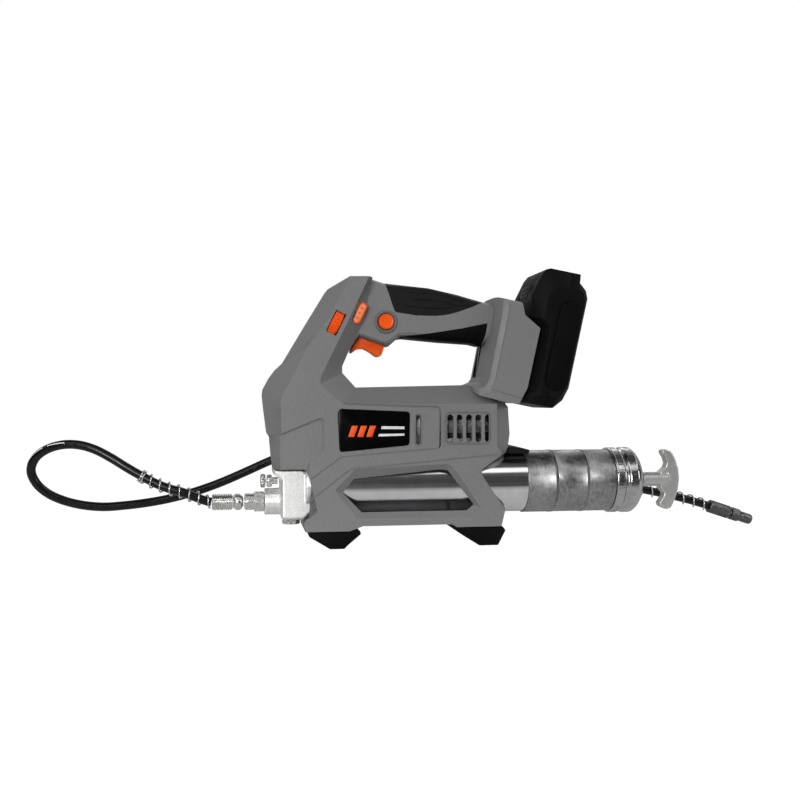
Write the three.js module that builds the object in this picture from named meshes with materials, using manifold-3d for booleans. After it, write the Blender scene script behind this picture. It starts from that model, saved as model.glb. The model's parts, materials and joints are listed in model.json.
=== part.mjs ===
// Cordless grease gun: a battery tool with a moulded housing, a crank-driven plunger pump,
// a screw-on grease barrel and a high-pressure hose.
// Millimetres. +Z is up, +X runs along the barrel towards the pull handle, -Y is the near side.
// The origin is on the floor, under the middle of the tool.

import * as THREE from 'three';
import { mergeVertices } from 'three/addons/utils/BufferGeometryUtils.js';
import Module from 'manifold-3d';

const wasm = await Module();
wasm.setup();

// ---------------------------------------------------------------- driving dimensions

const GAP = 0.35;                 // clearance left between pieces that touch
const WALL = 3;                   // moulded wall thickness
const HOUSING_HALF = 34;          // middle plane to the housing's flat side
const CORE_HALF = 17;             // middle plane to where the side chamfers begin
const HANDLE_HALF = 17.5;         // middle plane to the handle's side
const FOOT_HALF = 36;             // middle plane to the battery foot's side
const GRIP_THICKNESS = 2.4;       // rubber overmould

const BARREL_Z = 55;              // height of the barrel's axis
const BARREL_RADIUS = 28.5;
const BARREL_START = -145;
const SLEEVE_START = 42.5;        // where the knurled sleeve begins
const CAP_START = 126.5;
const CAP_END = 162;

const SHAFT_Z = 107;              // height of the motor and crank axis
const MOTOR_RADIUS = 18.5;
const CRANK_RADIUS = 8;           // half of the pump stroke
const CRANK_PIN_RADIUS = 3;
const PISTON_X = -165;
const PISTON_RADIUS = 4;

const GEAR_MODULE = 0.75;
const SUN_TEETH = 12;
const PLANET_TEETH = 18;
const RING_TEETH = 48;
const GEAR_PLANE_X = -75;         // front face of the gear train
const GEAR_WIDTH = 12;

const OUTLET_Z = 40;              // height of the hose outlet
const BLEEDER_Z = 58.5;
const HOSE_RADIUS = 4;
const GUARD_RADIUS = 6.3;

const BATTERY_TILT = THREE.MathUtils.degToRad(12.5);
const BATTERY_ORIGIN = [40, 0, 130];
const BATTERY_HALF = 38;
const RAIL_BACK = -14;            // the battery's T-rail, measured from the battery's face
const RAIL_NECK = -8;
const RAIL_HALF = 23.8;
const RAIL_NECK_HALF = 19.5;

const TRIGGER_TILT = THREE.MathUtils.degToRad(18.8);
const TRIGGER_ORIGIN = [-99, 0, 184.4];
const DIAL_CENTRE = [-134.5, -21.5, 198.5];
const DIAL_TILT = THREE.MathUtils.degToRad(26);
const LOCK_CENTRE = [-88, 0, 201.3];
const LOCK_RADIUS = 7;

// ---------------------------------------------------------------- materials

function material(color, roughness, metalness) {
  return new THREE.MeshStandardMaterial({ color, roughness, metalness });
}

const PLASTIC = material(0x747474, 0.62, 0);
const ORANGE = material(0xff550a, 0.38, 0);
const PALE_ORANGE = material(0xff9a6a, 0.4, 0);
const RUBBER = material(0x121212, 0.75, 0);
const BLACK = material(0x1c1c1c, 0.5, 0);
const GLOSS_BLACK = material(0x050505, 0.2, 0);
const CHROME = material(0xd8d8d8, 0.12, 1);
const GALVANISED = material(0xb4b4b4, 0.45, 1);
const CAST = material(0xdadada, 0.5, 0.9);
const ZINC = material(0xc4c4c4, 0.3, 1);
const STEEL = material(0x9a9a9a, 0.35, 1);
const BRASS = material(0xb58a3c, 0.35, 1);
const BOARD = material(0x1f5a34, 0.55, 0);

// ---------------------------------------------------------------- solids and booleans

// Leaves only position, merges shared vertices, drops empty triangles and turns faces outwards.
// A geometry without normals comes from a loft or a boolean, whose vertices are shared already.
function closed(geometry) {
  let merged = geometry;
  if (geometry.getAttribute('normal')) {
    const bare = geometry.clone();
    bare.deleteAttribute('normal');
    bare.deleteAttribute('uv');
    merged = mergeVertices(bare, 1e-4);
  }
  const position = merged.getAttribute('position');
  const index = merged.getIndex().array;
  const kept = [];
  let volume = 0;
  const a = new THREE.Vector3();
  const b = new THREE.Vector3();
  const c = new THREE.Vector3();
  for (let i = 0; i < index.length; i += 3) {
    const [p, q, r] = [index[i], index[i + 1], index[i + 2]];
    if (p === q || q === r || r === p) continue;
    kept.push(p, q, r);
    a.fromBufferAttribute(position, p);
    b.fromBufferAttribute(position, q);
    c.fromBufferAttribute(position, r);
    volume += a.dot(b.cross(c));
  }
  if (volume < 0) kept.reverse();
  const result = new THREE.BufferGeometry();
  result.setAttribute('position', position);
  result.setIndex(kept);
  return result;
}

function solid(geometry) {
  const clean = closed(geometry);
  return new wasm.Manifold(new wasm.Mesh({
    numProp: 3,
    vertProperties: new Float32Array(clean.getAttribute('position').array),
    triVerts: new Uint32Array(clean.getIndex().array),
  }));
}

function geometryOf(manifold) {
  const mesh = manifold.getMesh();
  const geometry = new THREE.BufferGeometry();
  geometry.setAttribute('position', new THREE.BufferAttribute(mesh.vertProperties, 3));
  geometry.setIndex(new THREE.BufferAttribute(mesh.triVerts, 1));
  return geometry;
}

function joined(...geometries) {
  return geometryOf(geometries.map(solid).reduce((sum, next) => sum.add(next)));
}

function cut(geometry, ...tools) {
  return geometryOf(tools.map(solid).reduce((rest, tool) => rest.subtract(tool), solid(geometry)));
}

function common(first, second) {
  return geometryOf(solid(first).intersect(solid(second)));
}

// ---------------------------------------------------------------- shape helpers

function shapeOf(points, holes = []) {
  const shape = new THREE.Shape(points.map(([x, y]) => new THREE.Vector2(x, y)));
  shape.holes = holes.map((hole) => new THREE.Path(hole.map(([x, y]) => new THREE.Vector2(x, y))));
  return shape;
}

// A side outline of (x, z) points, extruded between two y values.
function sidePrism(points, fromY, toY, holes = []) {
  const depth = toY - fromY;
  const geometry = new THREE.ExtrudeGeometry(shapeOf(points, holes), { depth, bevelEnabled: false });
  return geometry.rotateX(Math.PI / 2).translate(0, toY, 0);
}

// An end outline of (y, z) points, extruded between two x values.
function endPrism(points, fromX, toX, holes = []) {
  const depth = toX - fromX;
  const geometry = new THREE.ExtrudeGeometry(shapeOf(points, holes), { depth, bevelEnabled: false });
  const turn = new THREE.Matrix4().makeBasis(
    new THREE.Vector3(0, 1, 0), new THREE.Vector3(0, 0, 1), new THREE.Vector3(1, 0, 0));
  return geometry.applyMatrix4(turn).translate(fromX, 0, 0);
}

function box(x0, x1, y0, y1, z0, z1) {
  const geometry = new THREE.BoxGeometry(x1 - x0, y1 - y0, z1 - z0);
  return geometry.translate((x0 + x1) / 2, (y0 + y1) / 2, (z0 + z1) / 2);
}

// Turned pieces. A profile is a list of (radius, height) points, from axis to axis or closed.
function turnedX(profile, segments = 32) {
  const points = profile.map(([radius, height]) => new THREE.Vector2(radius, height));
  return new THREE.LatheGeometry(points, segments).rotateZ(-Math.PI / 2);
}

function turnedY(profile, segments = 32) {
  const points = profile.map(([radius, height]) => new THREE.Vector2(radius, height));
  return new THREE.LatheGeometry(points, segments);
}

function turnedZ(profile, segments = 32) {
  return turnedY(profile, segments).rotateX(Math.PI / 2);
}

function rodX(radius, x0, x1, segments = 24) {
  return turnedX([[0, x0], [radius, x0], [radius, x1], [0, x1]], segments);
}

function rodY(radius, y0, y1, segments = 24) {
  return turnedY([[0, y0], [radius, y0], [radius, y1], [0, y1]], segments);
}

function rodZ(radius, z0, z1, segments = 24) {
  return turnedZ([[0, z0], [radius, z0], [radius, z1], [0, z1]], segments);
}

function tubeX(inner, outer, x0, x1, segments = 32) {
  return turnedX([[inner, x0], [outer, x0], [outer, x1], [inner, x1], [inner, x0]], segments);
}

// Skins a list of {y, points} sections that all have the same number of (x, z) points.
function loft(sections) {
  const count = sections[0].points.length;
  const positions = sections.flatMap(({ y, points }) => points.flatMap(([x, z]) => [x, y, z]));
  const index = [];
  for (let layer = 0; layer + 1 < sections.length; layer += 1) {
    for (let i = 0; i < count; i += 1) {
      const next = (i + 1) % count;
      const [a, b] = [layer * count + i, layer * count + next];
      const [c, d] = [a + count, b + count];
      index.push(a, d, b, a, c, d);
    }
  }
  const last = sections.length - 1;
  for (const triangle of capTriangles(sections[0].points)) index.push(...triangle);
  for (const triangle of capTriangles(sections[last].points)) {
    index.push(...triangle.map((corner) => corner + last * count).reverse());
  }
  const geometry = new THREE.BufferGeometry();
  geometry.setAttribute('position', new THREE.Float32BufferAttribute(positions, 3));
  geometry.setIndex(index);
  return geometry;
}

// Triangles that fill an outline and run the same way round as it does.
function capTriangles(points) {
  const flat = points.map(([x, z]) => new THREE.Vector2(x, z));
  const turn = Math.sign(THREE.ShapeUtils.area(flat));
  return THREE.ShapeUtils.triangulateShape(flat, []).map((triangle) => {
    const area = THREE.ShapeUtils.area(triangle.map((corner) => flat[corner]));
    return Math.sign(area) === turn ? triangle : triangle.reverse();
  });
}

// Moves every edge of an outline inwards by a distance (outwards if it is negative).
function inset(points, distance) {
  const area = THREE.ShapeUtils.area(points.map(([x, y]) => new THREE.Vector2(x, y)));
  const side = area > 0 ? 1 : -1;
  const count = points.length;
  const line = (i) => {
    const [x0, y0] = points[i % count];
    const [x1, y1] = points[(i + 1) % count];
    const length = Math.hypot(x1 - x0, y1 - y0);
    const [dx, dy] = [(x1 - x0) / length, (y1 - y0) / length];
    return { x: x0 - dy * side * distance, y: y0 + dx * side * distance, dx, dy };
  };
  return points.map((_, i) => {
    const a = line(i + count - 1);
    const b = line(i);
    const cross = a.dx * b.dy - a.dy * b.dx;
    if (Math.abs(cross) < 0.02) return [b.x, b.y];
    const t = ((b.x - a.x) * b.dy - (b.y - a.y) * b.dx) / cross;
    return [a.x + a.dx * t, a.y + a.dy * t];
  });
}

function blendOutlines(first, second, share) {
  return first.map(([x, z], i) => [
    x + (second[i][0] - x) * share,
    z + (second[i][1] - z) * share,
  ]);
}

// A plate whose outline changes from a core outline to a side outline, straight or rounded.
function shoulderedPlate(core, side, coreHalf, fullHalf, roundSteps = 1) {
  const layers = [];
  for (let step = 0; step <= roundSteps; step += 1) {
    const angle = (Math.PI / 2) * (step / roundSteps);
    const reach = roundSteps === 1 ? step : Math.sin(angle);
    const share = roundSteps === 1 ? step : 1 - Math.cos(angle);
    layers.push({ y: coreHalf + (fullHalf - coreHalf) * reach, points: blendOutlines(core, side, share) });
  }
  const mirrored = layers.map(({ y, points }) => ({ y: -y, points })).reverse();
  return loft([...mirrored, ...layers]);
}

function roundedRectangle(width, height, radius, steps = 3) {
  const points = [];
  const corners = [[1, 1, 0], [-1, 1, 1], [-1, -1, 2], [1, -1, 3]];
  for (const [sx, sy, quarter] of corners) {
    for (let step = 0; step <= steps; step += 1) {
      const angle = (quarter + step / steps) * (Math.PI / 2);
      points.push([
        sx * (width / 2 - radius) + radius * Math.cos(angle),
        sy * (height / 2 - radius) + radius * Math.sin(angle),
      ]);
    }
  }
  return points;
}

function shifted(points, dx, dy) {
  return points.map(([x, y]) => [x + dx, y + dy]);
}

const model = new THREE.Group();

function addPart(name, geometry, look, group = model) {
  const mesh = new THREE.Mesh(closed(geometry), look);
  mesh.name = name;
  group.add(mesh);
  return mesh;
}

// ---------------------------------------------------------------- housing outlines (x, z)

// Column, motor housing and lower frame: the middle outline and the flat side's outline.
const BODY_CORE = [
  [-100, 241], [-120, 240.5], [-140.6, 229.5], [-160, 197.5], [-179.5, 164.5], [-186.5, 158],
  [-192, 150.5], [-197.3, 140.5], [-198, 135.3], [-196.8, 123.5], [-194, 101.5], [-191.5, 97.5],
  [-190, 80.5], [-188.7, 70.5], [-161.5, 70.5], [-158, 64], [-150.5, 34], [-161.3, 24.5],
  [-161.3, 16], [-122.3, 16], [-110.8, 20.1], [-30.4, 20.1], [-26.3, 17.5], [16.5, 17.5],
  [22.5, 33], [2, 63.5], [2.3, 67.5], [23.8, 83], [25.5, 88], [27.1, 100],
  [25.5, 124.6], [18, 134], [-11.7, 144.7], [-115.5, 142.2], [-127.4, 155.2], [-127.4, 161],
  [-122.7, 172], [-108, 200],
];
const BODY_SIDE = [
  [-105.1, 240], [-122.3, 239.6], [-131.3, 221.5], [-140.2, 203.4], [-158.1, 179.7], [-164, 168.5],
  [-170, 156.5], [-177, 143], [-182.3, 132.7], [-182.3, 123.5], [-182.3, 101.5], [-182.3, 97.5],
  [-182.3, 80.5], [-182.3, 70.5], [-161.5, 70.5], [-158, 64], [-150.5, 34], [-161.3, 24.5],
  [-161.3, 16], [-122.3, 16], [-110.8, 20.1], [-30.4, 20.1], [-26.3, 17.5], [14.8, 17.5],
  [18, 31], [-4.3, 64.5], [-4, 68.5], [15.2, 83], [10.5, 89.6], [10.5, 100],
  [10.5, 122], [10.5, 127.5], [-14, 127.5], [-127.9, 127.5], [-148.6, 144.9], [-147.7, 151.9],
  [-138, 171.5], [-120.5, 207.2],
];

const WINDOW_OUTER = [
  [-135.8, 51.8], [-117.9, 70.2], [-35.4, 74], [-30.4, 72.4], [-4.3, 34.4], [-14.8, 26.7], [-115.2, 27.1],
];
const WINDOW_INNER = [
  [-128.1, 49.5], [-118, 61.3], [-38.9, 68.9], [-33.5, 67.5], [-10.1, 37], [-16.5, 32], [-111.5, 32],
];

const HANDLE_OUTLINE = [
  [-118, 240], [-101.5, 241], [-89, 237], [-75, 235.9], [-47.5, 233.3], [-22, 228], [1, 221.8], [14, 219.5],
  [14, 190], [0.9, 180.6], [-7.6, 182.6], [-35.7, 184.2], [-71, 187.2], [-77, 186.2], [-84.5, 179.6],
  [-89, 180], [-112, 188], [-121, 175.5], [-128, 180],
];
const HANDLE_SIDE = [
  [-118, 236], [-103, 236], [-90, 231.5], [-75, 230], [-47.5, 227.5], [-22, 222.5], [1, 216.5], [14, 214],
  [14, 196], [0.9, 187.5], [-7.6, 189.2], [-35.7, 190.5], [-71, 192.5], [-77, 191.5], [-84.5, 185],
  [-89, 183.5], [-112, 191], [-120, 181], [-126, 184],
];

const FOOT_CORE = [
  [12.6, 225], [33, 221.5], [36.3, 209.5], [50.5, 196.5], [38.7, 143], [31, 128], [21.4, 128.6],
  [-11, 138.5], [-12, 144.6], [-4.1, 147.7], [-0.6, 152], [5, 180.5], [10, 207],
];
const FOOT_SIDE = [
  [21.4, 220.5], [34.3, 217.5], [36.1, 208], [50.4, 195.8], [38.5, 142.2], [30.7, 127.6], [21.4, 128.2],
  [-5.4, 134.8], [-2, 136.6], [4.3, 139.1], [8.1, 147.2], [14.7, 178.6], [21, 207.5],
];

const HANDLE_CAVITY = [
  [-118, 233], [-101, 234.5], [-89, 231], [-47.5, 227.5], [-22, 222], [2, 215.8], [13, 213], [13, 193],
  [1, 188], [-35, 190.2], [-72, 193.5], [-90, 188], [-112, 195], [-118, 192],
];
const FOOT_CAVITY_CORE = [
  [16, 221], [31, 218], [33.3, 208.5], [47, 195.5], [35.8, 144.5], [29, 131.5], [10, 133.5],
  [2, 140.5], [4.5, 153], [9.5, 181], [13.5, 206],
];
const FOOT_CAVITY_SIDE = [
  [24.5, 216.5], [31, 214.5], [33.1, 206.5], [46.8, 194.3], [35.5, 144.8], [29, 131], [12, 132.5],
  [8, 139.5], [11.6, 149], [18.4, 180], [24.3, 206],
];

const GRIP_TOP_OUTLINE = [
  [-87.5, 245], [-88.1, 235.5], [-79.8, 211.5], [-78, 210.3], [-60, 207.8], [-41.7, 207.6], [-31, 208.9],
  [-21.2, 211.6], [-10, 215.6], [2, 221], [2, 245],
];
const GRIP_LOWER_OUTLINE = [
  [-74.5, 188], [-50, 190.8], [-20, 195.6], [5.5, 200.9], [4.5, 193], [1, 182], [0, 172], [-80, 172],
];

const BADGE_OUTLINE = [
  [-132.9, 119.8], [-131.6, 122.4], [-129.4, 123.1], [-71.8, 120.7], [-69.8, 120], [-69.1, 118.2],
  [-69.5, 93], [-70.5, 91.3], [-72.3, 90.7], [-128.9, 85.6], [-130.6, 86], [-131.4, 87.8],
];

// ---------------------------------------------------------------- housing

const SCREW_PLACES = [
  [-124, 229], [-184, 112], [-60, 135.5], [26, 204], [-140, 20.6],
];
const SCREW_HEAD_Y = 27;
const BOSS_RADIUS = 4.4;

const VENT_COUNT = 5;
const VENT_PITCH = 8.6;
const VENT_FIRST_X = -32.4;
const VENT_WIDTH = 4.1;
const VENT_Z = [93.7, 117.6];
const SINGLE_VENT_X = -61.4;
const SINGLE_VENT_Z = [91.5, 117.7];

// An upright slot with rounded ends, through both sides.
function slotThrough(x, width, [z0, z1]) {
  const outline = roundedRectangle(width, z1 - z0, width / 2 - 0.05, 2);
  return sidePrism(shifted(outline, x, (z0 + z1) / 2), -40, 40);
}

function ventCuts() {
  const cuts = [];
  for (let i = 0; i < VENT_COUNT; i += 1) {
    cuts.push(slotThrough(VENT_FIRST_X + i * VENT_PITCH, VENT_WIDTH, VENT_Z));
  }
  cuts.push(slotThrough(SINGLE_VENT_X, VENT_WIDTH, SINGLE_VENT_Z));
  return cuts;
}

function handleBody(shrink) {
  return shoulderedPlate(
    shrink > 0 ? inset(HANDLE_OUTLINE, shrink) : HANDLE_OUTLINE,
    shrink > 0 ? inset(HANDLE_SIDE, shrink) : HANDLE_SIDE,
    8 - shrink / 2, HANDLE_HALF - shrink, 3);
}

function housingCavity() {
  const upper = shoulderedPlate(
    inset(BODY_CORE, WALL), inset(BODY_SIDE, WALL), CORE_HALF - 1, HOUSING_HALF - WALL);
  const lowerSlab = box(-170, 30, -BARREL_RADIUS - 0.9, BARREL_RADIUS + 0.9, 10, 84);
  const upperSlab = box(-210, 40, -40, 40, 84, 260);
  const body = joined(common(upper, lowerSlab), common(upper, upperSlab));
  const handle = shoulderedPlate(HANDLE_CAVITY, inset(HANDLE_CAVITY, 2.5), 8, HANDLE_HALF - 5.4, 2);
  const foot = shoulderedPlate(FOOT_CAVITY_CORE, FOOT_CAVITY_SIDE, 14, FOOT_HALF - WALL, 2);
  return joined(body, handle, foot);
}

// T-slot in the foot's back, open at the top, for the battery's rail.
function railSlot() {
  const floor = 4;
  const slot = joined(
    box(RAIL_BACK - 0.8, RAIL_NECK + 0.4, -RAIL_HALF - 0.5, RAIL_HALF + 0.5, floor, 130),
    box(RAIL_NECK, 6, -RAIL_NECK_HALF - 0.4, RAIL_NECK_HALF + 0.4, floor, 130));
  return slot.rotateY(BATTERY_TILT).translate(...BATTERY_ORIGIN);
}

function housingShell() {
  const body = shoulderedPlate(BODY_CORE, BODY_SIDE, CORE_HALF, HOUSING_HALF);
  const foot = shoulderedPlate(FOOT_CORE, FOOT_SIDE, 14, FOOT_HALF, 3);
  const outerHandle = handleBody(0);
  const grips = joined(
    sidePrism(inset(GRIP_TOP_OUTLINE, -GAP), -30, 30),
    sidePrism(inset(GRIP_LOWER_OUTLINE, -GAP), -30, 30));
  const handle = joined(cut(outerHandle, grips), handleBody(GRIP_THICKNESS + GAP));
  const outer = joined(body, foot, handle);
  const hollow = cut(outer, housingCavity());
  const railWalls = box(-5 - 14.5, -5, -28, 28, -2, 80);
  railWalls.rotateY(BATTERY_TILT).translate(...BATTERY_ORIGIN);
  const footFilled = joined(hollow, common(railWalls, foot));
  const bosses = SCREW_PLACES.map(([x, z]) => (
    common(rodY(BOSS_RADIUS, -40, 40, 8).translate(x, 0, z), outer)));
  const ring = common(common(tubeX(29.2, 34, 4, 9, 28).translate(0, 0, BARREL_Z), outer), box(0, 12,
    -40, 40, 0, 86));
  return joined(footFilled, ring, ...bosses);
}

function housingCuts() {
  const screwHoles = SCREW_PLACES.flatMap(([x, z]) => [
    rodY(1.95, -16, 40, 8).translate(x, 0, z),
    rodY(3.8, SCREW_HEAD_Y, 45, 12).translate(x, 0, z),
  ]);
  const window = loft([
    { y: -HOUSING_HALF - 0.5, points: blendOutlines(WINDOW_OUTER, WINDOW_INNER, -0.1) },
    { y: -BARREL_RADIUS - 0.8, points: WINDOW_INNER },
    { y: BARREL_RADIUS + 0.8, points: WINDOW_INNER },
    { y: HOUSING_HALF + 0.5, points: blendOutlines(WINDOW_OUTER, WINDOW_INNER, -0.1) },
  ]);
  const triggerSlot = joined(
    box(-12.6, 12.6, -6.8, 6.8, -8, 11.6),
    box(-16.8, -12, -6.8, 6.8, -19, 8));
  triggerSlot.rotateY(TRIGGER_TILT).translate(...TRIGGER_ORIGIN);
  const dialSlot = box(-5, 5, -20, 10, -10.4, 10.4);
  dialSlot.rotateY(DIAL_TILT).translate(DIAL_CENTRE[0], -HOUSING_HALF, DIAL_CENTRE[2]);
  return [
    ...ventCuts(),
    ...screwHoles,
    window,
    triggerSlot,
    dialSlot,
    sidePrism(inset(BADGE_OUTLINE, -GAP), -40, -HOUSING_HALF + 1.5),
    rodX(BARREL_RADIUS + 0.8, -166, 60, 28).translate(0, 0, BARREL_Z),
    rodZ(12.7, 60, 90, 16).translate(PISTON_X, 0, 0),
    rodY(LOCK_RADIUS + 0.5, -40, 40, 16).translate(LOCK_CENTRE[0], 0, LOCK_CENTRE[2]),
    levelButtonBody(GAP, -40, -10),
    railSlot(),
  ];
}

function addHousing() {
  const whole = cut(housingShell(), ...housingCuts());
  addPart('housing_left', common(whole, box(-300, 300, -60, -GAP / 2, -10, 300)), PLASTIC);
  addPart('housing_right', common(whole, box(-300, 300, GAP / 2, 60, -10, 300)), PLASTIC);
  SCREW_PLACES.forEach(([x, z], i) => {
    const profile = [
      [0, -15], [1.6, -15], [1.6, SCREW_HEAD_Y + GAP], [3.3, SCREW_HEAD_Y + GAP],
      [3.3, SCREW_HEAD_Y + 2.4], [1.4, SCREW_HEAD_Y + 2.4], [0, SCREW_HEAD_Y + 1],
    ];
    addPart(`housing_screw_${i + 1}`, turnedY(profile, 8).translate(x, 0, z), STEEL);
  });
  addPart('badge_plate', sidePrism(BADGE_OUTLINE, -HOUSING_HALF - 0.1, -HOUSING_HALF + 1.15), GLOSS_BLACK);
}

function addGrips() {
  const shell = cut(handleBody(0), handleBody(GRIP_THICKNESS));
  addPart('grip_top', common(shell, sidePrism(GRIP_TOP_OUTLINE, -30, 30)), RUBBER);
  addPart('grip_lower', common(shell, sidePrism(GRIP_LOWER_OUTLINE, -30, 30)), RUBBER);
}

function addFeet() {
  const front = [
    [-157.5, 16 - GAP], [-112.8, 16 - GAP], [-112.1, 12.8], [-124.6, 2.4], [-126.7, 0], [-139.5, 0],
    [-158, 11.3],
  ];
  const rear = [
    [-25.6, 17.5 - GAP], [-23.7, 12.7], [-4.8, 0], [12.6, 0], [19.6, 13.4], [16.5, 17.5 - GAP],
  ];
  addPart('front_foot', sidePrism(front, -31, 31), RUBBER);
  addPart('rear_foot', sidePrism(rear, -31, 31), RUBBER);
}

// ---------------------------------------------------------------- handle controls

function addTrigger() {
  const group = new THREE.Group();
  group.position.set(...TRIGGER_ORIGIN);
  group.rotation.y = TRIGGER_TILT;
  model.add(group);
  const finger = [
    [-12.1, 5], [12.1, 5], [12.3, -8], [11.5, -10.4], [9.7, -11.9], [7.2, -11.8], [3.4, -10.5],
    [-1, -9.4], [-5.5, -9.1], [-9.4, -10.6], [-12.2, -13.4], [-14.6, -17], [-15.8, -15.4],
    [-15.4, -5], [-12.1, 1],
  ];
  addPart('trigger', sidePrism(finger, -6.3, 6.3), ORANGE, group);
  addPart('trigger_spring', turnedZ(
    [[2.2, 5.4], [3.2, 5.4], [3.2, 14.6], [2.2, 14.6], [2.2, 5.4]], 12).translate(-4, 0, 0), STEEL, group);
  const switchBody = joined(box(-26, -9, -7.5, 7.5, 15, 33), box(-12.5, -9.5, -2, 2, 12.2, 16));
  addPart('trigger_switch', switchBody, BLACK, group);
}

function levelButtonBody(grow, y0, y1) {
  const outline = roundedRectangle(8 + 2 * grow, 20.5 + 2 * grow, 3.9 + grow, 4);
  const body = sidePrism(outline, y0, y1);
  return body.rotateY(DIAL_TILT).translate(-112.8, 0, 208);
}

function addControls() {
  addPart('level_button', levelButtonBody(0, -26.6, -16), PALE_ORANGE);
  addPart('circuit_board', box(-118, -98, -10, -8.4, 212, 231), BOARD);
  const lock = turnedY([
    [0, -21.2], [LOCK_RADIUS - 0.8, -21.2], [LOCK_RADIUS, -20.4], [LOCK_RADIUS, 20.4],
    [LOCK_RADIUS - 0.8, 21.2], [0, 21.2],
  ], 24).translate(...LOCK_CENTRE);
  addPart('lock_button', lock, ORANGE);
  const dial = new THREE.Group();
  dial.position.set(...DIAL_CENTRE);
  dial.rotation.y = DIAL_TILT;
  model.add(dial);
  const ribs = 22;
  const rim = [];
  for (let i = 0; i < ribs * 2; i += 1) {
    const angle = (i / (ribs * 2)) * Math.PI * 2;
    const radius = i % 2 === 0 ? 14 : 13.3;
    rim.push([radius * Math.cos(angle), radius * Math.sin(angle)]);
  }
  addPart('speed_dial', endPrism(rim, -4.4, 4.4), ORANGE, dial);
}

// ---------------------------------------------------------------- motor, gears and crank

function gearOutline(teeth, phase, internal) {
  const pitchRadius = (GEAR_MODULE * teeth) / 2;
  const tip = pitchRadius + (internal ? -0.8 : 0.8) * GEAR_MODULE;
  const root = pitchRadius + (internal ? 1.15 : -1.15) * GEAR_MODULE;
  const step = (Math.PI * 2) / teeth;
  const points = [];
  for (let i = 0; i < teeth; i += 1) {
    const centre = phase + i * step;
    for (const [radius, share] of [[root, -0.3], [tip, -0.1], [tip, 0.1], [root, 0.3]]) {
      const angle = centre + share * step;
      points.push([radius * Math.cos(angle), radius * Math.sin(angle)]);
    }
  }
  return points;
}

function circle(radius, segments) {
  return Array.from({ length: segments }, (_, i) => {
    const angle = (i / segments) * Math.PI * 2;
    return [radius * Math.cos(angle), radius * Math.sin(angle)];
  });
}

function addDrive() {
  const drive = new THREE.Group();
  drive.position.set(0, 0, SHAFT_Z);
  model.add(drive);
  const gearEnd = GEAR_PLANE_X + GEAR_WIDTH;

  const canProfile = [
    [4.2, -52], [MOTOR_RADIUS, -52], [MOTOR_RADIUS, 6], [4.2, 6], [4.2, 5], [MOTOR_RADIUS - 1.6, 5],
    [MOTOR_RADIUS - 1.6, -50.5], [4.2, -50.5], [4.2, -52],
  ];
  addPart('motor_can', turnedX(canProfile, 20), ZINC, drive);

  const armature = turnedX([
    [0, -56], [2.5, -56], [2.5, -48], [14.5, -48], [14.5, -4], [7, -4], [7, 1], [2.5, 1], [2.5, 9.5],
    [0, 9.5],
  ], 24);
  const sun = endPrism(gearOutline(SUN_TEETH, 0, false), GEAR_PLANE_X + 1, -55.7);
  addPart('rotor', joined(armature, sun), STEEL, drive);

  const bladeCount = 8;
  const blades = [];
  for (let i = 0; i < bladeCount; i += 1) {
    const blade = box(10, 13.5, -0.7, 0.7, 4, 15.5);
    blades.push(blade.rotateX((i / bladeCount) * Math.PI * 2));
  }
  const hub = tubeX(2.8, 6, 9.8 - 2.6, 13.5, 12);
  addPart('cooling_fan', joined(hub, tubeX(5.5, 16, 12, 13.5, 16), ...blades), BLACK, drive);

  const ringOuter = circle(21, 24);
  addPart('ring_gear', endPrism(
    ringOuter, GEAR_PLANE_X - 1, gearEnd + 1, [gearOutline(RING_TEETH, 0, true)]), STEEL, drive);

  const orbit = (GEAR_MODULE * (SUN_TEETH + PLANET_TEETH)) / 2;
  const pins = [];
  for (let i = 0; i < 3; i += 1) {
    const angle = (i / 3) * Math.PI * 2;
    const [y, z] = [orbit * Math.cos(angle), orbit * Math.sin(angle)];
    const teeth = gearOutline(PLANET_TEETH, THREE.MathUtils.degToRad(10), false);
    const planet = endPrism(teeth, GEAR_PLANE_X, gearEnd, [circle(2.1, 16)]);
    const holder = new THREE.Group();
    holder.position.set(0, y, z);
    drive.add(holder);
    addPart(`planet_gear_${i + 1}`, planet, STEEL, holder);
    pins.push(rodX(1.9, GEAR_PLANE_X - 3, gearEnd - 1, 16).translate(0, y, z));
  }
  const carrier = turnedX([
    [0, -159], [14, -159], [14, -154], [5, -154], [5, -80.5], [16, -80.5], [16, -76.5], [0, -76.5],
  ], 24);
  const crankPin = rodX(CRANK_PIN_RADIUS, -170, -156, 16).translate(0, CRANK_RADIUS, 0);
  addPart('crank_carrier', joined(carrier, crankPin, ...pins), STEEL, drive);

  const caseProfile = [
    [5.4, -147], [19, -147], [22, -144], [22, -55], [21.4, -55], [21.4, -84], [18, -87], [18, -143],
    [5.4, -143],
    [5.4, -147],
  ];
  addPart('gearbox_case', turnedX(caseProfile, 20), CAST, drive);
}

// Slotted yoke that turns the crank pin's circle into the plunger's stroke.
function addPump() {
  const yokeSlot = { halfWidth: CRANK_RADIUS + CRANK_PIN_RADIUS + 0.6 };
  yokeSlot.halfHeight = 2 * CRANK_RADIUS + CRANK_PIN_RADIUS + 0.6;
  const outer = shifted(roundedRectangle(2 * yokeSlot.halfWidth + 8, 2 * yokeSlot.halfHeight + 8, 4,
    2), 0, SHAFT_Z);
  const inner = shifted(roundedRectangle(2 * yokeSlot.halfWidth, 2 * yokeSlot.halfHeight, 2, 2), 0, SHAFT_Z);
  addPart('pump_yoke', endPrism(outer, PISTON_X - 3.5, PISTON_X + 3.5, [inner]), STEEL);
  const yokeBottom = SHAFT_Z - yokeSlot.halfHeight - 4;
  addPart('pump_plunger', rodZ(PISTON_RADIUS, 50, yokeBottom - GAP, 16).translate(PISTON_X, 0, 0), STEEL);
}

// ---------------------------------------------------------------- pump head and fittings

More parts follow.
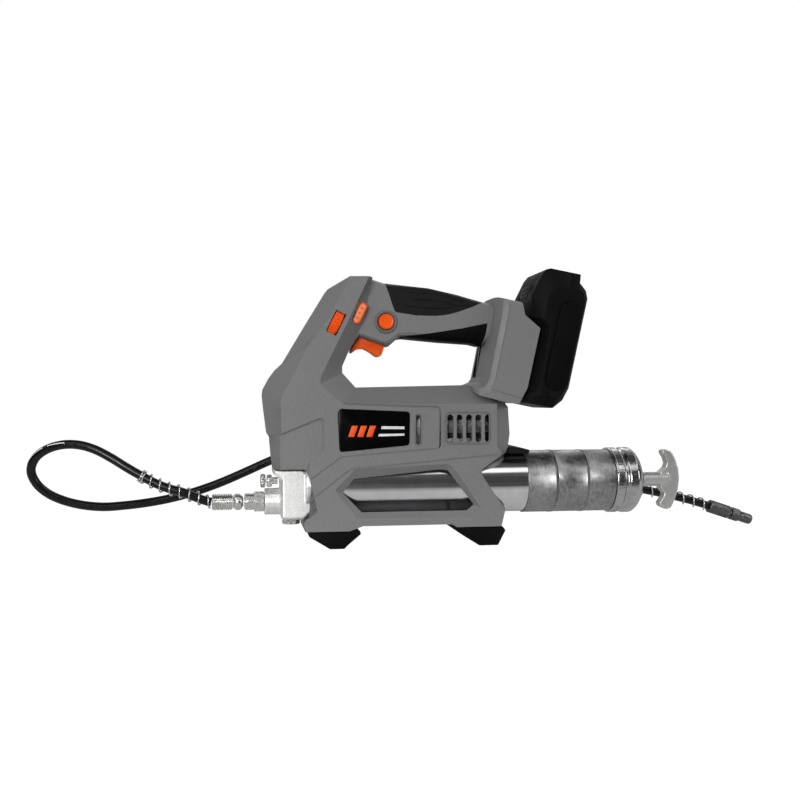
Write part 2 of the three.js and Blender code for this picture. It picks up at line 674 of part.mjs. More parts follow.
function hexagonX(acrossFlats, x0, x1) {
  const points = Array.from({ length: 6 }, (_, i) => {
    const angle = (i / 6) * Math.PI * 2;
    const radius = acrossFlats / Math.sqrt(3);
    return [radius * Math.cos(angle), radius * Math.sin(angle)];
  });
  return endPrism(points, x0, x1);
}

function addPumpHead() {
  const block = [
    [-188.7, 70.1], [-162.4, 70.1], [-160.5, 69], [-158.6, 64], [-151.4, 34.6], [-161.6, 25.2],
    [-180.5, 25.2], [-182, 28], [-182, 60], [-188.7, 66],
  ];
  const cheek = [
    [-187, 68.6], [-163.2, 68.6], [-161.9, 68], [-160.1, 63.7], [-153.2, 35], [-162.2, 26.8],
    [-179.8, 26.8], [-180.4, 28.4], [-180.4, 60.7], [-187, 66.7],
  ];
  const casting = joined(
    shoulderedPlate(block, cheek, 20, 23.5),
    rodX(12, -195.8, -178, 20).translate(0, 0, OUTLET_Z),
    rodZ(11.8, 60, 72.5, 16).translate(PISTON_X, 0, 0),
    rodX(BARREL_RADIUS - 0.4, -160, BARREL_START - GAP, 24).translate(0, 0, BARREL_Z),
    rodX(BARREL_RADIUS - 2, -150, BARREL_START + 4, 24).translate(0, 0, BARREL_Z));
  const bores = [
    rodZ(PISTON_RADIUS + 0.15, 30, 80, 16).translate(PISTON_X, 0, 0),
    rodX(4.6, -200, PISTON_X, 16).translate(0, 0, OUTLET_Z),
    rodX(6, PISTON_X, BARREL_START + 20, 16).translate(0, 0, BARREL_Z + 2),
    rodX(3.4, -200, -180, 16).translate(0, 0, BLEEDER_Z),
    rodX(1.6, -182, PISTON_X, 8).translate(0, 0, BLEEDER_Z),
    rodZ(5.4, 20, 31, 16).translate(-172, 0, 0),
  ];
  addPart('pump_head', cut(casting, ...bores), CAST);

  addPart('head_plug', joined(
    rodZ(5, 24, 29, 16),
    rodZ(8.2, 19.5, 24.8 - GAP, 6)).translate(-172, 0, 0), ZINC);

  addPart('check_ball', new THREE.SphereGeometry(3.4, 12, 8).translate(-176, 0, OUTLET_Z), STEEL);
  addPart('check_spring', turnedX(
    [[1.6, -189.3], [2.8, -189.3], [2.8, -179.8], [1.6, -179.8],
    [1.6, -189.3]], 10).translate(0, 0, OUTLET_Z), STEEL);

  addPart('bleeder_body', turnedX([
    [1.2, -194], [5.6, -194], [5.6, -189.1], [3.1, -189.1], [3.1, -184], [1.2, -184], [1.2, -194],
  ], 16).translate(0, 0, BLEEDER_Z), ZINC);
  addPart('bleeder_knob', turnedX([
    [0, -199.5], [5.2, -199.5], [6.2, -198.5], [6.2, -195.6], [5.4, -194.7], [0.95, -194.7],
    [0.95, -186], [0, -186],
  ], 20).translate(0, 0, BLEEDER_Z), ZINC);

  const outlet = cut(
    joined(
      rodX(4.3, -196.5, -190, 16),
      hexagonX(17, -205, -196.2),
      turnedX([[0, -213.6], [6.6, -213.6], [7.6, -212.4], [7.6, -204.8], [0, -204.8]], 24)),
    rodX(1.6, -220, -180, 12));
  addPart('outlet_fitting', outlet.translate(0, 0, OUTLET_Z), ZINC);
}

// ---------------------------------------------------------------- grease barrel

function addBarrel() {
  const barrel = new THREE.Group();
  barrel.position.set(0, 0, BARREL_Z);
  model.add(barrel);

  addPart('barrel', tubeX(BARREL_RADIUS - 1.2, BARREL_RADIUS - 0.5, BARREL_START, CAP_START - 3, 28),
    CHROME, barrel);

  const grooves = [[67.5, 71], [97.5, 101]];
  const sleeveProfile = [[BARREL_RADIUS - 0.2, SLEEVE_START], [BARREL_RADIUS + 0.5, SLEEVE_START]];
  for (const [start, end] of grooves) {
    const middle = (start + end) / 2;
    sleeveProfile.push([BARREL_RADIUS + 0.5, start], [BARREL_RADIUS + 0.1, middle],
      [BARREL_RADIUS + 0.5, end]);
  }
  sleeveProfile.push([BARREL_RADIUS + 0.5, CAP_START - GAP], [BARREL_RADIUS - 0.2, CAP_START - GAP]);
  sleeveProfile.push(sleeveProfile[0]);
  addPart('barrel_sleeve', turnedX(sleeveProfile, 28), GALVANISED, barrel);

  const capProfile = [
    [BARREL_RADIUS - 0.2, CAP_START], [30.6, CAP_START], [30.6, CAP_START + 8], [29.3, CAP_START + 9.5],
    [29.3, CAP_START + 11.5], [31, CAP_START + 13.5], [31, CAP_START + 21.5], [28.5, CAP_START + 27],
    [22, CAP_START + 31.5],
    [12, CAP_END - 1], [4.4, CAP_END - 1], [4.4, CAP_END - 3.5], [18, CAP_START + 29],
    [25.5, CAP_START + 24], [BARREL_RADIUS - 0.2, CAP_START + 18], [BARREL_RADIUS - 0.2, CAP_START],
  ];
  addPart('end_cap', turnedX(capProfile, 28), ZINC, barrel);

  const followerProfile = [
    [4.6, -132], [12, -135], [26.6, -135], [26.9, -133], [26, -122], [26.9, -113], [25, -113],
    [24, -128], [4.6, -128], [4.6, -132],
  ];
  addPart('follower', turnedX(followerProfile, 16), RUBBER, barrel);
  addPart('follower_spring', tubeX(18, 20.5, -127.6, 149, 16), STEEL, barrel);

  const rodProfile = [
    [0, -140], [8, -140], [8, -138.4], [4, -138.4], [4, 166], [0, 166],
  ];
  addPart('plunger_rod', turnedX(rodProfile, 16), STEEL, barrel);
  addPart('pull_handle', pullHandle(), CAST, barrel);
}

// T-handle: a round hub with a thick crescent cross-bar whose tips bend back towards the barrel.
function pullHandle() {
  const crescent = [
    [182.4, 82.6], [185.8, 83.8], [191.6, 81.6], [195.6, 74.6], [198.6, 65.5], [199.5, 56.3], [198.4, 45.6],
    [195.2, 35.7], [191.1, 27.6], [186.7, 25.9], [180.2, 29], [179.2, 32.4], [183.3, 38.1], [184.4, 41.6],
    [180.4, 46.4], [180.4, 62], [185.6, 66.4], [186.9, 70.5], [184.8, 76.3], [182.2, 80],
  ].map(([x, z]) => [x, z - BARREL_Z]);
  const bar = sidePrism(crescent, -5, 5);
  const hub = turnedX([[0, 162.8], [6.9, 162.8], [6.9, 180], [8, 187], [0, 192]], 20);
  return cut(joined(bar, hub), rodX(4.35, 150, 166.4, 16));
}

function addSaddle() {
  const collar = [];
  const steps = 10;
  for (let i = 0; i <= steps; i += 1) {
    const angle = THREE.MathUtils.degToRad(64 + (52 * i) / steps);
    collar.push([35.4 * Math.cos(angle), 35.4 * Math.sin(angle)]);
  }
  for (let i = steps; i >= 0; i -= 1) {
    const angle = THREE.MathUtils.degToRad(64 + (52 * i) / steps);
    collar.push([29.3 * Math.cos(angle), 29.3 * Math.sin(angle)]);
  }
  const saddle = endPrism(shifted(collar, 0, BARREL_Z), 26.4, 47);
  const wedge = sidePrism([[20, 70], [47, 70], [47, BARREL_Z + 29.9], [26.4, 90.2], [20, 90.2]], -30, 30);
  addPart('barrel_saddle', common(saddle, wedge), BLACK);
}

// ---------------------------------------------------------------- battery

const CELL_COUNT = 5;
const CELL_PITCH = 19.2;
const FIRST_CELL_W = 19;

function batteryCase() {
  const core = [
    [-13.5, 76.5], [-13.5, 84], [-15.5, 90], [-16, 96], [-11, 115.5], [-8, 121.5], [-4, 123.4], [25, 124.6],
    [25.5, 117], [33, 111], [36, 104], [36, 20], [32.5, 8], [25, -1], [0, -1.5], [-2.2, 5], [-1.6, 24],
    [-1.6, 67.5],
  ];
  const side = [
    [-2.5, 75.5], [-3, 82], [-3.4, 88], [-3.2, 98], [2, 104], [5, 107], [8, 108.5], [24, 109.5],
    [26.5, 108.5], [29, 106], [32, 100], [32, 22], [29, 13], [24, 8.5], [10, 8.5], [7.5, 12], [7.2, 24],
    [5, 68],
  ];
  return [core, side];
}

function addBattery() {
  const group = new THREE.Group();
  group.position.set(...BATTERY_ORIGIN);
  group.rotation.y = BATTERY_TILT;
  model.add(group);

  const [core, side] = batteryCase();
  const outer = shoulderedPlate(core, side, 29, BATTERY_HALF - 1.2);
  const rail = joined(
    box(RAIL_NECK - 1, -2, -RAIL_NECK_HALF, RAIL_NECK_HALF, 8, 74),
    box(RAIL_BACK, RAIL_NECK, -RAIL_HALF, RAIL_HALF, 8, 74));
  const inner = joined(box(1, 31.5, -27, 27, 9, 106), box(7.4, 31.5, -33.2, 33.2, 9.5, 105.5));
  const splitX = 16.5;
  const bladeSlots = [-12, 0, 12].map((y) => box(-12.6, -9.4, y - 1.6, y + 1.6, 0, 26));
  const latchPocket = box(-20, -3.2, -14.4, 14.4, 92.6, 107.4);
  const bumperCut = joined(bumper(GAP, 34.8, 40), bumper(GAP, -40, -34.8));
  const whole = cut(joined(outer, rail), inner, latchPocket, bumperCut, ...bladeSlots);
  addPart('battery_front', common(whole, box(-60, splitX - GAP / 2, -60, 60, -20, 150)), BLACK, group);
  addPart('battery_back', common(whole, box(splitX + GAP / 2, 60, -60, 60, -20, 150)), BLACK, group);
  addPart('battery_bumper_left', bumper(0, -BATTERY_HALF, -35.2), RUBBER, group);
  addPart('battery_bumper_right', bumper(0, 35.2, BATTERY_HALF), RUBBER, group);
  addPart('battery_latch', joined(
    box(-15.4, -6.6, -14, 14, 93, 107),
    box(-16, -15, -10, 10, 95, 97),
    box(-16, -15, -10, 10, 99, 101),
    box(-16, -15, -10, 10, 103, 105)), BLACK, group);

  const cells = [];
  for (let i = 0; i < CELL_COUNT; i += 1) {
    cells.push(rodY(9.1, -32.5, 31.9, 10).translate(17, 0, FIRST_CELL_W + i * CELL_PITCH));
  }
  const strap = box(14, 20, 31.6, 32.7, FIRST_CELL_W, FIRST_CELL_W + (CELL_COUNT - 1) * CELL_PITCH);
  addPart('cell_pack', joined(...cells, strap), STEEL, group);
}

// Long rounded pad on each side of the battery.
function bumper(grow, y0, y1) {
  const outline = roundedRectangle(19.5 + 2 * grow, 82 + 2 * grow, 9.6 + grow, 5);
  return sidePrism(shifted(outline, 20.3, 55.8), y0, y1);
}

function addTerminals() {
  const group = new THREE.Group();
  group.position.set(...BATTERY_ORIGIN);
  group.rotation.y = BATTERY_TILT;
  model.add(group);
  const base = box(-14.6, -7, -18, 18, 4.4, 7.4);
  const blades = [-12, 0, 12].map((y) => box(-11.6, -10.4, y - 1, y + 1, 7, 22));
  addPart('terminal_block', joined(base, ...blades), BRASS, group);
}

// ---------------------------------------------------------------- hose

// Centreline from the front ferrule, around the loop, along the far side and out to the coupler.
const HOSE_ROUTE = [
  [-236, 0, 40], [-244, 0, 40.4], [-256, 0, 44.6], [-268, 0, 49.4], [-279, 0.3, 52.6], [-290, 1, 57],
  [-302, 2, 63.4], [-316, 3.5, 71.6], [-330, 5.5, 80.4], [-344, 8, 87.6], [-358, 11, 91.4],
  [-372.5, 14, 91.4], [-386.5, 17.5, 87], [-396.5, 21, 79], [-400.4, 24, 68.4], [-396.8, 26.5, 57.4],
  [-387.8, 28.5, 48], [-374, 30, 40.8], [-357, 31.5, 36], [-339, 33, 34], [-321, 34.5, 34.8],
  [-303, 36, 36.6], [-285, 37.5, 39.4], [-266, 39, 43.8], [-247, 40.5, 49.6], [-229, 41.7, 56.4],
  [-210, 42.5, 64.6], [-191, 43, 73], [-170, 43, 81.5], [-145, 43, 89], [-118, 43, 94],
  [-88, 43, 96.6], [-56, 43, 96.4], [-24, 43, 93], [8, 43, 86.8], [40, 43, 78.6], [72, 43, 69],
  [104, 43, 59], [136, 43, 50.4], [160, 42.8, 45.4], [182, 42.3, 41], [206, 41.4, 36], [232, 40.2, 29.6],
  [252, 39, 23.6],
];
const COUPLER_DIRECTION = [20, -1.2, -6.6];

function hoseCurve() {
  return new THREE.CatmullRomCurve3(HOSE_ROUTE.map((point) => new THREE.Vector3(...point)), false,
    'centripetal');
}

// A part of the hose curve between two arc-length shares, as points for an extrude path.
function curveStretch(curve, from, to, steps) {
  const points = Array.from({ length: steps + 1 }, (_,
    i) => curve.getPointAt(from + ((to - from) * i) / steps));
  return new THREE.CatmullRomCurve3(points, false, 'centripetal');
}

function sweep(curve, outline, holes, steps) {
  return new THREE.ExtrudeGeometry(shapeOf(outline, holes), { steps, bevelEnabled: false,
    extrudePath: curve });
}

function placedAlong(geometry, point, direction) {
  const turn = new THREE.Quaternion().setFromUnitVectors(
    new THREE.Vector3(1, 0, 0), new THREE.Vector3(...direction).normalize());
  return geometry.applyQuaternion(turn).translate(...point);
}

function addHose() {
  const curve = hoseCurve();
  const length = curve.getLength();
  const hoseSteps = 56;
  const startShare = 6.3 / length;
  addPart('hose', sweep(
    curveStretch(curve, startShare, 1 - 1.5 / length, hoseSteps), circle(HOSE_RADIUS, 8), [],
      hoseSteps), BLACK);

  const swivel = joined(
    turnedX([[0, -223.4], [5.6, -223.4], [7.4, -221.6], [7.4, -217], [5.6, -215.2], [4.4, -214.4], [0,
      -214.4]], 20));
  addPart('swivel_nut', swivel.translate(0, 0, OUTLET_Z), ZINC);

  const ferrule = turnedX([[0, -242], [7, -242], [7.4, -241], [7.4, -225], [6.6, -223.8], [0, -223.8]], 16);
  addPart('hose_ferrule', cut(
    ferrule, rodX(HOSE_RADIUS + 0.8, -250, -230, 12)).translate(0, 0, OUTLET_Z), ZINC);

  const guardOutline = circle(GUARD_RADIUS, 8);
  const guardHole = circle(HOSE_RADIUS + 0.75, 8);
  addPart('front_guard_spring', sweep(
    curveStretch(curve, 9 / length, 80 / length, 9), guardOutline, [guardHole], 10), STEEL);
  addPart('rear_guard_spring', sweep(
    curveStretch(curve, 1 - 88 / length, 1 - 5 / length, 9), guardOutline, [guardHole], 10), STEEL);

  const end = HOSE_ROUTE[HOSE_ROUTE.length - 1];
  const coupling = turnedX([
    [0, 0], [6.2, 0], [6.5, 0.8], [6.5, 21], [6.2, 22], [0, 22],
  ], 20);
  addPart('coupler_ferrule', placedAlong(coupling, end, COUPLER_DIRECTION), BLACK);
  const nose = joined(
    turnedX([[0, 22 + GAP], [4.6, 22 + GAP], [6.9, 24.6], [6.9, 32], [5.2, 35], [5.2, 46], [4.2, 47],
      [0, 47]], 20));
  addPart('grease_coupler', placedAlong(cut(nose, rodX(1.2, 36, 60, 8)), end, COUPLER_DIRECTION), BLACK);
}

// Clip screwed to the far side of the housing that holds the hose.
function addHoseClip() {
  const [x, y, z] = [-72, 43, 96.7];
  const outer = circle(7.4, 16).map(([a, b]) => [a + y, b + z]);
  const hole = circle(4.9, 16).map(([a, b]) => [a + y, b + z]);
  const ring = endPrism(outer, x - 7, x + 7, [hole]);
  const base = box(x - 7, x + 7, HOUSING_HALF + GAP, 36.8, z - 12, z + 12);
  addPart('hose_clip', cut(joined(ring, base), box(x - 20, x + 20, 30, HOUSING_HALF + GAP, 60, 130)), BLACK);
}

addHousing();
addGrips();
addFeet();
addTrigger();
addControls();
addDrive();
addPump();
addPumpHead();
addBarrel();
addSaddle();
addBattery();
addTerminals();
addHose();
addHoseClip();

export default model;
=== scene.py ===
"""Looks of the cordless grease gun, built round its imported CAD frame.

Lengths are in millimetres until a mesh is made.
"""

import json
import math

import bmesh
import bpy
from mathutils import Matrix, Vector
from mathutils.bvhtree import BVHTree


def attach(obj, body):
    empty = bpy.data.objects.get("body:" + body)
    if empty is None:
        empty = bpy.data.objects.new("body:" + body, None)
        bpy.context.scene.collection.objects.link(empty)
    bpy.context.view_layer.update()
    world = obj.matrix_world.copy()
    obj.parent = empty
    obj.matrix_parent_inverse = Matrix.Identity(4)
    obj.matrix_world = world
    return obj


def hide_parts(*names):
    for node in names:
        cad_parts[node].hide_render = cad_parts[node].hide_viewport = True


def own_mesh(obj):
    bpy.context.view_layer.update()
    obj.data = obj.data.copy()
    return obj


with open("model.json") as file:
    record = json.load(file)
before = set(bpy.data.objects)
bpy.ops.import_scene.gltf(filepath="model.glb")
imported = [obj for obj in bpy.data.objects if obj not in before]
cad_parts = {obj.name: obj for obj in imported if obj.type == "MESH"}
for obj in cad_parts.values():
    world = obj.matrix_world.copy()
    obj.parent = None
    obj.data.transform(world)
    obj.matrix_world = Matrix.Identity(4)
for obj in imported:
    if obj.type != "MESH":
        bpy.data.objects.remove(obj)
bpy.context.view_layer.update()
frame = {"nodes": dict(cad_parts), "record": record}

MM = 0.001
HOUSING_HALF = 34
BARREL_Z = 55
BARREL_RADIUS = 28.5
OUTLET_Z = 40
BLEEDER_Z = 58.5
SLEEVE_START = 42.5
PRINT_UP_TO = -368
JOINT_FACE = 0.3
GUARD_CLOSED_AT = 0.78
GUARD_OPEN = 0.94
FLOOR_WHITE = 0.94
FLOOR_HALF = 15000
HOSE_RADIUS = 4
COPLANAR = math.radians(1)

NODE_BODY = {
    node: body for body, nodes in frame["record"]["behaviour"]["bodies"].items() for node in nodes
}
NODE_SLOT = {part["node"]: part["material_slot"] for part in frame["record"]["subparts"]}

# ---------------------------------------------------------------- camera


def add_camera():
    data = bpy.data.cameras.new("camera")
    data.sensor_width = 36
    data.lens = 42.75
    camera = bpy.data.objects.new("camera", data)
    camera.location = (-0.2165, -0.862, 0.131)
    look = Vector((0.165, 0.986, 0))
    camera.rotation_euler = look.to_track_quat("-Z", "Y").to_euler()
    bpy.context.scene.collection.objects.link(camera)
    bpy.context.scene.camera = camera


# ---------------------------------------------------------------- materials


class Nodes:
    """A material's node tree, with short ways to add what the looks below share."""

    def __init__(self, name):
        self.material = bpy.data.materials.new(name)
        self.material.use_nodes = True
        self.tree = self.material.node_tree
        self.shader = self.tree.nodes["Principled BSDF"]
        self.place = self.add("ShaderNodeTexCoord").outputs["Object"]

    def add(self, kind, **values):
        node = self.tree.nodes.new(kind)
        for key, value in values.items():
            setattr(node, key, value)
        return node

    def link(self, source, target):
        self.tree.links.new(source, target)

    def stretched(self, scale):
        mapping = self.add("ShaderNodeMapping")
        mapping.inputs["Scale"].default_value = scale
        self.link(self.place, mapping.inputs["Vector"])
        return mapping.outputs["Vector"]

    def noise(self, size, detail=3, stretch=(1, 1, 1), roughness=0.55):
        """Noise whose features are about size millimetres across."""
        node = self.add("ShaderNodeTexNoise")
        node.inputs["Scale"].default_value = 1000 / size
        node.inputs["Detail"].default_value = detail
        node.inputs["Roughness"].default_value = roughness
        self.link(self.stretched(stretch), node.inputs["Vector"])
        return node.outputs["Fac"]

    def cells(self, size, stretch=(1, 1, 1)):
        node = self.add("ShaderNodeTexVoronoi")
        node.inputs["Scale"].default_value = 1000 / size
        self.link(self.stretched(stretch), node.inputs["Vector"])
        return node.outputs["Color"], node.outputs["Distance"]

    def ramp(self, source, stops):
        node = self.add("ShaderNodeValToRGB")
        ramp = node.color_ramp
        while len(ramp.elements) < len(stops):
            ramp.elements.new(0.5)
        for element, (place, colour) in zip(ramp.elements, stops):
            element.position = place
            element.color = (*colour, 1) if len(colour) == 3 else colour
        self.link(source, node.inputs["Fac"])
        return node.outputs["Color"]

    def ranged(self, source, low, high, source_low=0.3, source_high=0.7):
        node = self.add("ShaderNodeMapRange")
        node.inputs["From Min"].default_value = source_low
        node.inputs["From Max"].default_value = source_high
        node.inputs["To Min"].default_value = low
        node.inputs["To Max"].default_value = high
        self.link(source, node.inputs["Value"])
        return node.outputs["Result"]

    def mixed(self, share, first, second, blend="MIX"):
        node = self.add("ShaderNodeMix", data_type="RGBA", blend_type=blend)
        self.set(node.inputs["Factor"], share)
        colours = [socket for socket in node.inputs if socket.type == "RGBA"]
        self.set(colours[0], first)
        self.set(colours[1], second)
        return [socket for socket in node.outputs if socket.type == "RGBA"][0]

    def set(self, socket, value):
        if isinstance(value, bpy.types.NodeSocket):
            self.link(value, socket)
        elif socket.type == "RGBA":
            socket.default_value = (*value, 1)
        elif not isinstance(value, tuple):
            socket.default_value = value

    def bump(self, layers):
        """Bumps from (height, depth in millimetres) pairs, one on top of the other."""
        normal = None
        for height, depth in layers:
            node = self.add("ShaderNodeBump")
            node.inputs["Strength"].default_value = 1
            node.inputs["Distance"].default_value = depth * MM
            self.link(height, node.inputs["Height"])
            if normal:
                self.link(normal, node.inputs["Normal"])
            normal = node.outputs["Normal"]
        self.link(normal, self.shader.inputs["Normal"])

    def edges(self, low, high):
        """0 on flats, 1 on sharp outer edges."""
        point = self.add("ShaderNodeNewGeometry").outputs["Pointiness"]
        return self.ranged(point, 0, 1, low, high)

    def finish(self, colour, roughness, metallic=0.0, **sockets):
        self.set(self.shader.inputs["Base Color"], colour)
        self.set(self.shader.inputs["Roughness"], roughness)
        self.shader.inputs["Metallic"].default_value = metallic
        for key, value in sockets.items():
            self.shader.inputs[key.replace("_", " ")].default_value = value
        return self.material


def shade(colour, factor):
    return tuple(min(1, part * factor) for part in colour)


def moulded_plastic(name, colour, roughness=0.5, grain=0.035, edge_wear_and_highlight=0.16, grain_size=0.55, shine=0.5):
    """Spark-eroded moulded plastic: fine grain, faint cloudiness, edges lighter, partly from rubbing and
    partly as a painted highlight.
    """
    n = Nodes(name)
    fine = n.noise(grain_size, 2)
    cloud = n.noise(42, 3)
    base = n.ramp(cloud, [(0.3, shade(colour, 0.92)), (0.7, shade(colour, 1.08))])
    speck = n.ramp(n.noise(1.5, 4), [(0.35, shade(colour, 0.72)), (0.65, shade(colour, 1.3))])
    base = n.mixed(0.5, base, speck)
    # Painted highlight and wear: the outer edges are mixed toward a lighter grey, which stands in for rim
    # highlights as well as rubbed plastic.
    worn_and_highlit = n.mixed(0.5, colour, (0.4, 0.4, 0.4))
    base = n.mixed(n.ranged(n.edges(0.515, 0.585), 0, edge_wear_and_highlight, 0, 1), base, worn_and_highlit)
    n.bump([(fine, grain), (n.noise(6, 2), grain * 0.6)])
    dull = n.ranged(n.noise(9, 3), roughness - 0.06, roughness + 0.08)
    return n.finish(base, dull, Specular_IOR_Level=shine)


def rubber(name, colour, roughness=0.62):
    n = Nodes(name)
    fine = n.noise(0.8, 3)
    dust = n.noise(25, 4)
    base = n.ramp(dust, [(0.35, colour), (0.75, shade(colour, 1.5))])
    base = n.mixed(n.ranged(n.edges(0.53, 0.64), 0, 0.1, 0, 1), base, (0.12, 0.12, 0.12))
    n.bump([(fine, 0.03)])
    dull = n.ranged(n.noise(4, 2), roughness - 0.08, roughness + 0.08)
    return n.finish(base, dull, Specular_IOR_Level=0.04)


def chrome_plate(name):
    n = Nodes(name)
    scratch = n.noise(1.2, 4, (0.02, 1, 1))
    haze = n.noise(14, 4)
    base = n.ramp(haze, [(0.3, (0.72, 0.72, 0.73)), (0.7, (0.86, 0.86, 0.87))])
    n.bump([(scratch, 0.0035), (n.noise(30, 1), 0.02)])
    return n.finish(base, n.ranged(scratch, 0.09, 0.2), 1.0)


def galvanised_steel(name):
    """Dull zinc with spangle and rubbed streaks along the barrel."""
    n = Nodes(name)
    colour, distance = n.cells(3.2, (0.8, 1, 1))
    spangle = n.ramp(n.noise(2.6, 5), [(0.3, (0.2, 0.2, 0.2)), (0.7, (0.44, 0.44, 0.44))])
    base = n.mixed(0.25, spangle, colour, "SOFT_LIGHT")
    streak = n.ramp(n.noise(1.6, 5, (1, 0.3, 0.3)), [(0.35, (0.18, 0.18, 0.18)), (0.7, (0.55, 0.55, 0.54))])
    base = n.mixed(0.5, base, streak)
    stain = n.ramp(n.noise(16, 4), [(0.35, (0.2, 0.2, 0.2)), (0.65, (0.46, 0.46, 0.46))])
    base = n.mixed(0.3, base, stain)
    grey = n.add("ShaderNodeHueSaturation")
    grey.inputs["Saturation"].default_value = 0.06
    n.link(base, grey.inputs["Color"])
    n.bump([(n.noise(1.1, 3), 0.018), (distance, 0.03)])
    return n.finish(grey.outputs["Color"], n.ranged(n.noise(5, 4), 0.3, 0.5), 1.0)


def cast_metal(name, colour):
    """Sand-cast aluminium: pebbled, with bright high spots."""
    n = Nodes(name)
    sand = n.noise(1.4, 4)
    base = n.ramp(sand, [(0.32, shade(colour, 0.72)), (0.6, shade(colour, 1.12))])
    stain = n.ramp(n.noise(12, 3), [(0.3, shade(colour, 0.86)), (0.65, shade(colour, 1.05))])
    base = n.mixed(0.4, base, stain)
    base = n.mixed(n.ranged(n.edges(0.52, 0.6), 0, 0.5, 0, 1), base, (0.93, 0.93, 0.92))
    n.bump([(sand, 0.09), (n.noise(3.5, 2), 0.07)])
    return n.finish(base, n.ranged(sand, 0.5, 0.36), 0.85)


def turned_metal(name, colour, roughness=0.24, streak=(0.1, 1, 1), edge_wear_and_highlight=0.3):
    """Machined or plated steel with fine tool marks; edges and knurl ridges lighter, partly from wear and
    partly as a painted highlight.
    """
    n = Nodes(name)
    marks = n.noise(0.7, 3, streak)
    base = n.ramp(n.noise(5, 4), [(0.3, shade(colour, 0.84)), (0.7, shade(colour, 1.1))])
    # Painted highlight and wear: the edges take a lighter copy of the metal's colour, which stands in for
    # bright glints on the knurls as well as rubbed plating.
    bright = shade(colour, 1.35)
    base = n.mixed(n.ranged(n.edges(0.53, 0.62), 0, edge_wear_and_highlight, 0, 1), base, bright)
    n.bump([(marks, 0.008), (n.noise(2.5, 2), 0.01)])
    return n.finish(base, n.ranged(n.noise(3, 3), roughness - 0.07, roughness + 0.1), 1.0)


def glossy_hose(name, colour):
    n = Nodes(name)
    base = n.ramp(n.noise(10, 3), [(0.35, colour), (0.7, shade(colour, 1.8))])
    n.bump([(n.noise(1.4, 3), 0.02), (n.noise(9, 2), 0.05)])
    return n.finish(base, n.ranged(n.noise(5, 3), 0.16, 0.28), Specular_IOR_Level=0.28)


LOOKS = {
    "grey_plastic": moulded_plastic("grey_moulded_plastic", (0.118, 0.1185, 0.12), 0.5, 0.05, 0.4),
    "black_plastic": moulded_plastic(
        "black_moulded_plastic", (0.006, 0.006, 0.0063), 0.42, 0.03, 0.03, shine=0.12),
    "battery_plastic": moulded_plastic(
        "battery_plastic", (0.0032, 0.0032, 0.0034), 0.5, 0.02, 0.01, shine=0.09),
    "badge_gloss": moulded_plastic("badge_gloss", (0.0015, 0.0015, 0.0016), 0.2, 0.004, 0.0, shine=0.12),
    "black_rubber": rubber("black_rubber", (0.0032, 0.0032, 0.0034)),
    "grip_rubber": rubber("grip_rubber", (0.0032, 0.0032, 0.0034), 0.5),
    "orange_plastic": moulded_plastic("orange_plastic", (1.0, 0.098, 0.002), 0.36, 0.012, 0.02, shine=0.3),
    "peach_plastic": moulded_plastic("peach_plastic", (1.0, 0.3, 0.12), 0.4, 0.012, 0.02, shine=0.3),
    "pale_print": moulded_plastic("pale_print", (0.72, 0.72, 0.72), 0.45, 0.005, 0.0),
    "steel": turned_metal("spring_steel", (0.56, 0.56, 0.57), 0.26),
    "zinc_plate": turned_metal("zinc_plate", (0.7, 0.7, 0.68), 0.25),
    "cast_aluminium": cast_metal("sand_cast_aluminium", (0.86, 0.86, 0.85)),
    "handle_aluminium": cast_metal("polished_cast_aluminium", (0.54, 0.54, 0.53)),
    "chrome": chrome_plate("chrome_plate"),
    "galvanised": galvanised_steel("galvanised_steel"),
    "bright_plate": turned_metal("bright_plate", (0.5, 0.5, 0.5), 0.2, (1, 1, 1), 0.6),
    "board": moulded_plastic("board_lacquer", (0.02, 0.16, 0.05), 0.3, 0.01, 0.0),
    "black_steel": turned_metal("black_oxide", (0.14, 0.14, 0.142), 0.3, (1, 1, 1), 0.9),
    "hose_rubber": glossy_hose("hose_rubber", (0.0032, 0.0032, 0.0035)),
}

# ---------------------------------------------------------------- mesh helpers


def object_of(name, mesh, look):
    obj = bpy.data.objects.new(name, mesh)
    mesh.materials.clear()
    mesh.materials.append(LOOKS[look])
    bpy.context.scene.collection.objects.link(obj)
    return obj


def smooth(obj, angle=35):
    obj.data.shade_smooth()
    obj.data.set_sharp_from_angle(angle=math.radians(angle))
    return obj


def mesh_object(name, points, faces, look, angle=35):
    mesh = bpy.data.meshes.new(name)
    mesh.from_pydata([Vector(point) * MM for point in points], [], faces)
    shape = bmesh.new()
    shape.from_mesh(mesh)
    bmesh.ops.recalc_face_normals(shape, faces=shape.faces)
    shape.to_mesh(mesh)
    shape.free()
    return smooth(object_of(name, mesh, look), angle)


def settled(obj, angle=35):
    """Turns an object's modifiers into its mesh."""
    graph = bpy.context.evaluated_depsgraph_get()
    mesh = bpy.data.meshes.new_from_object(obj.evaluated_get(graph))
    obj.modifiers.clear()
    obj.data = mesh
    return smooth(obj, angle)


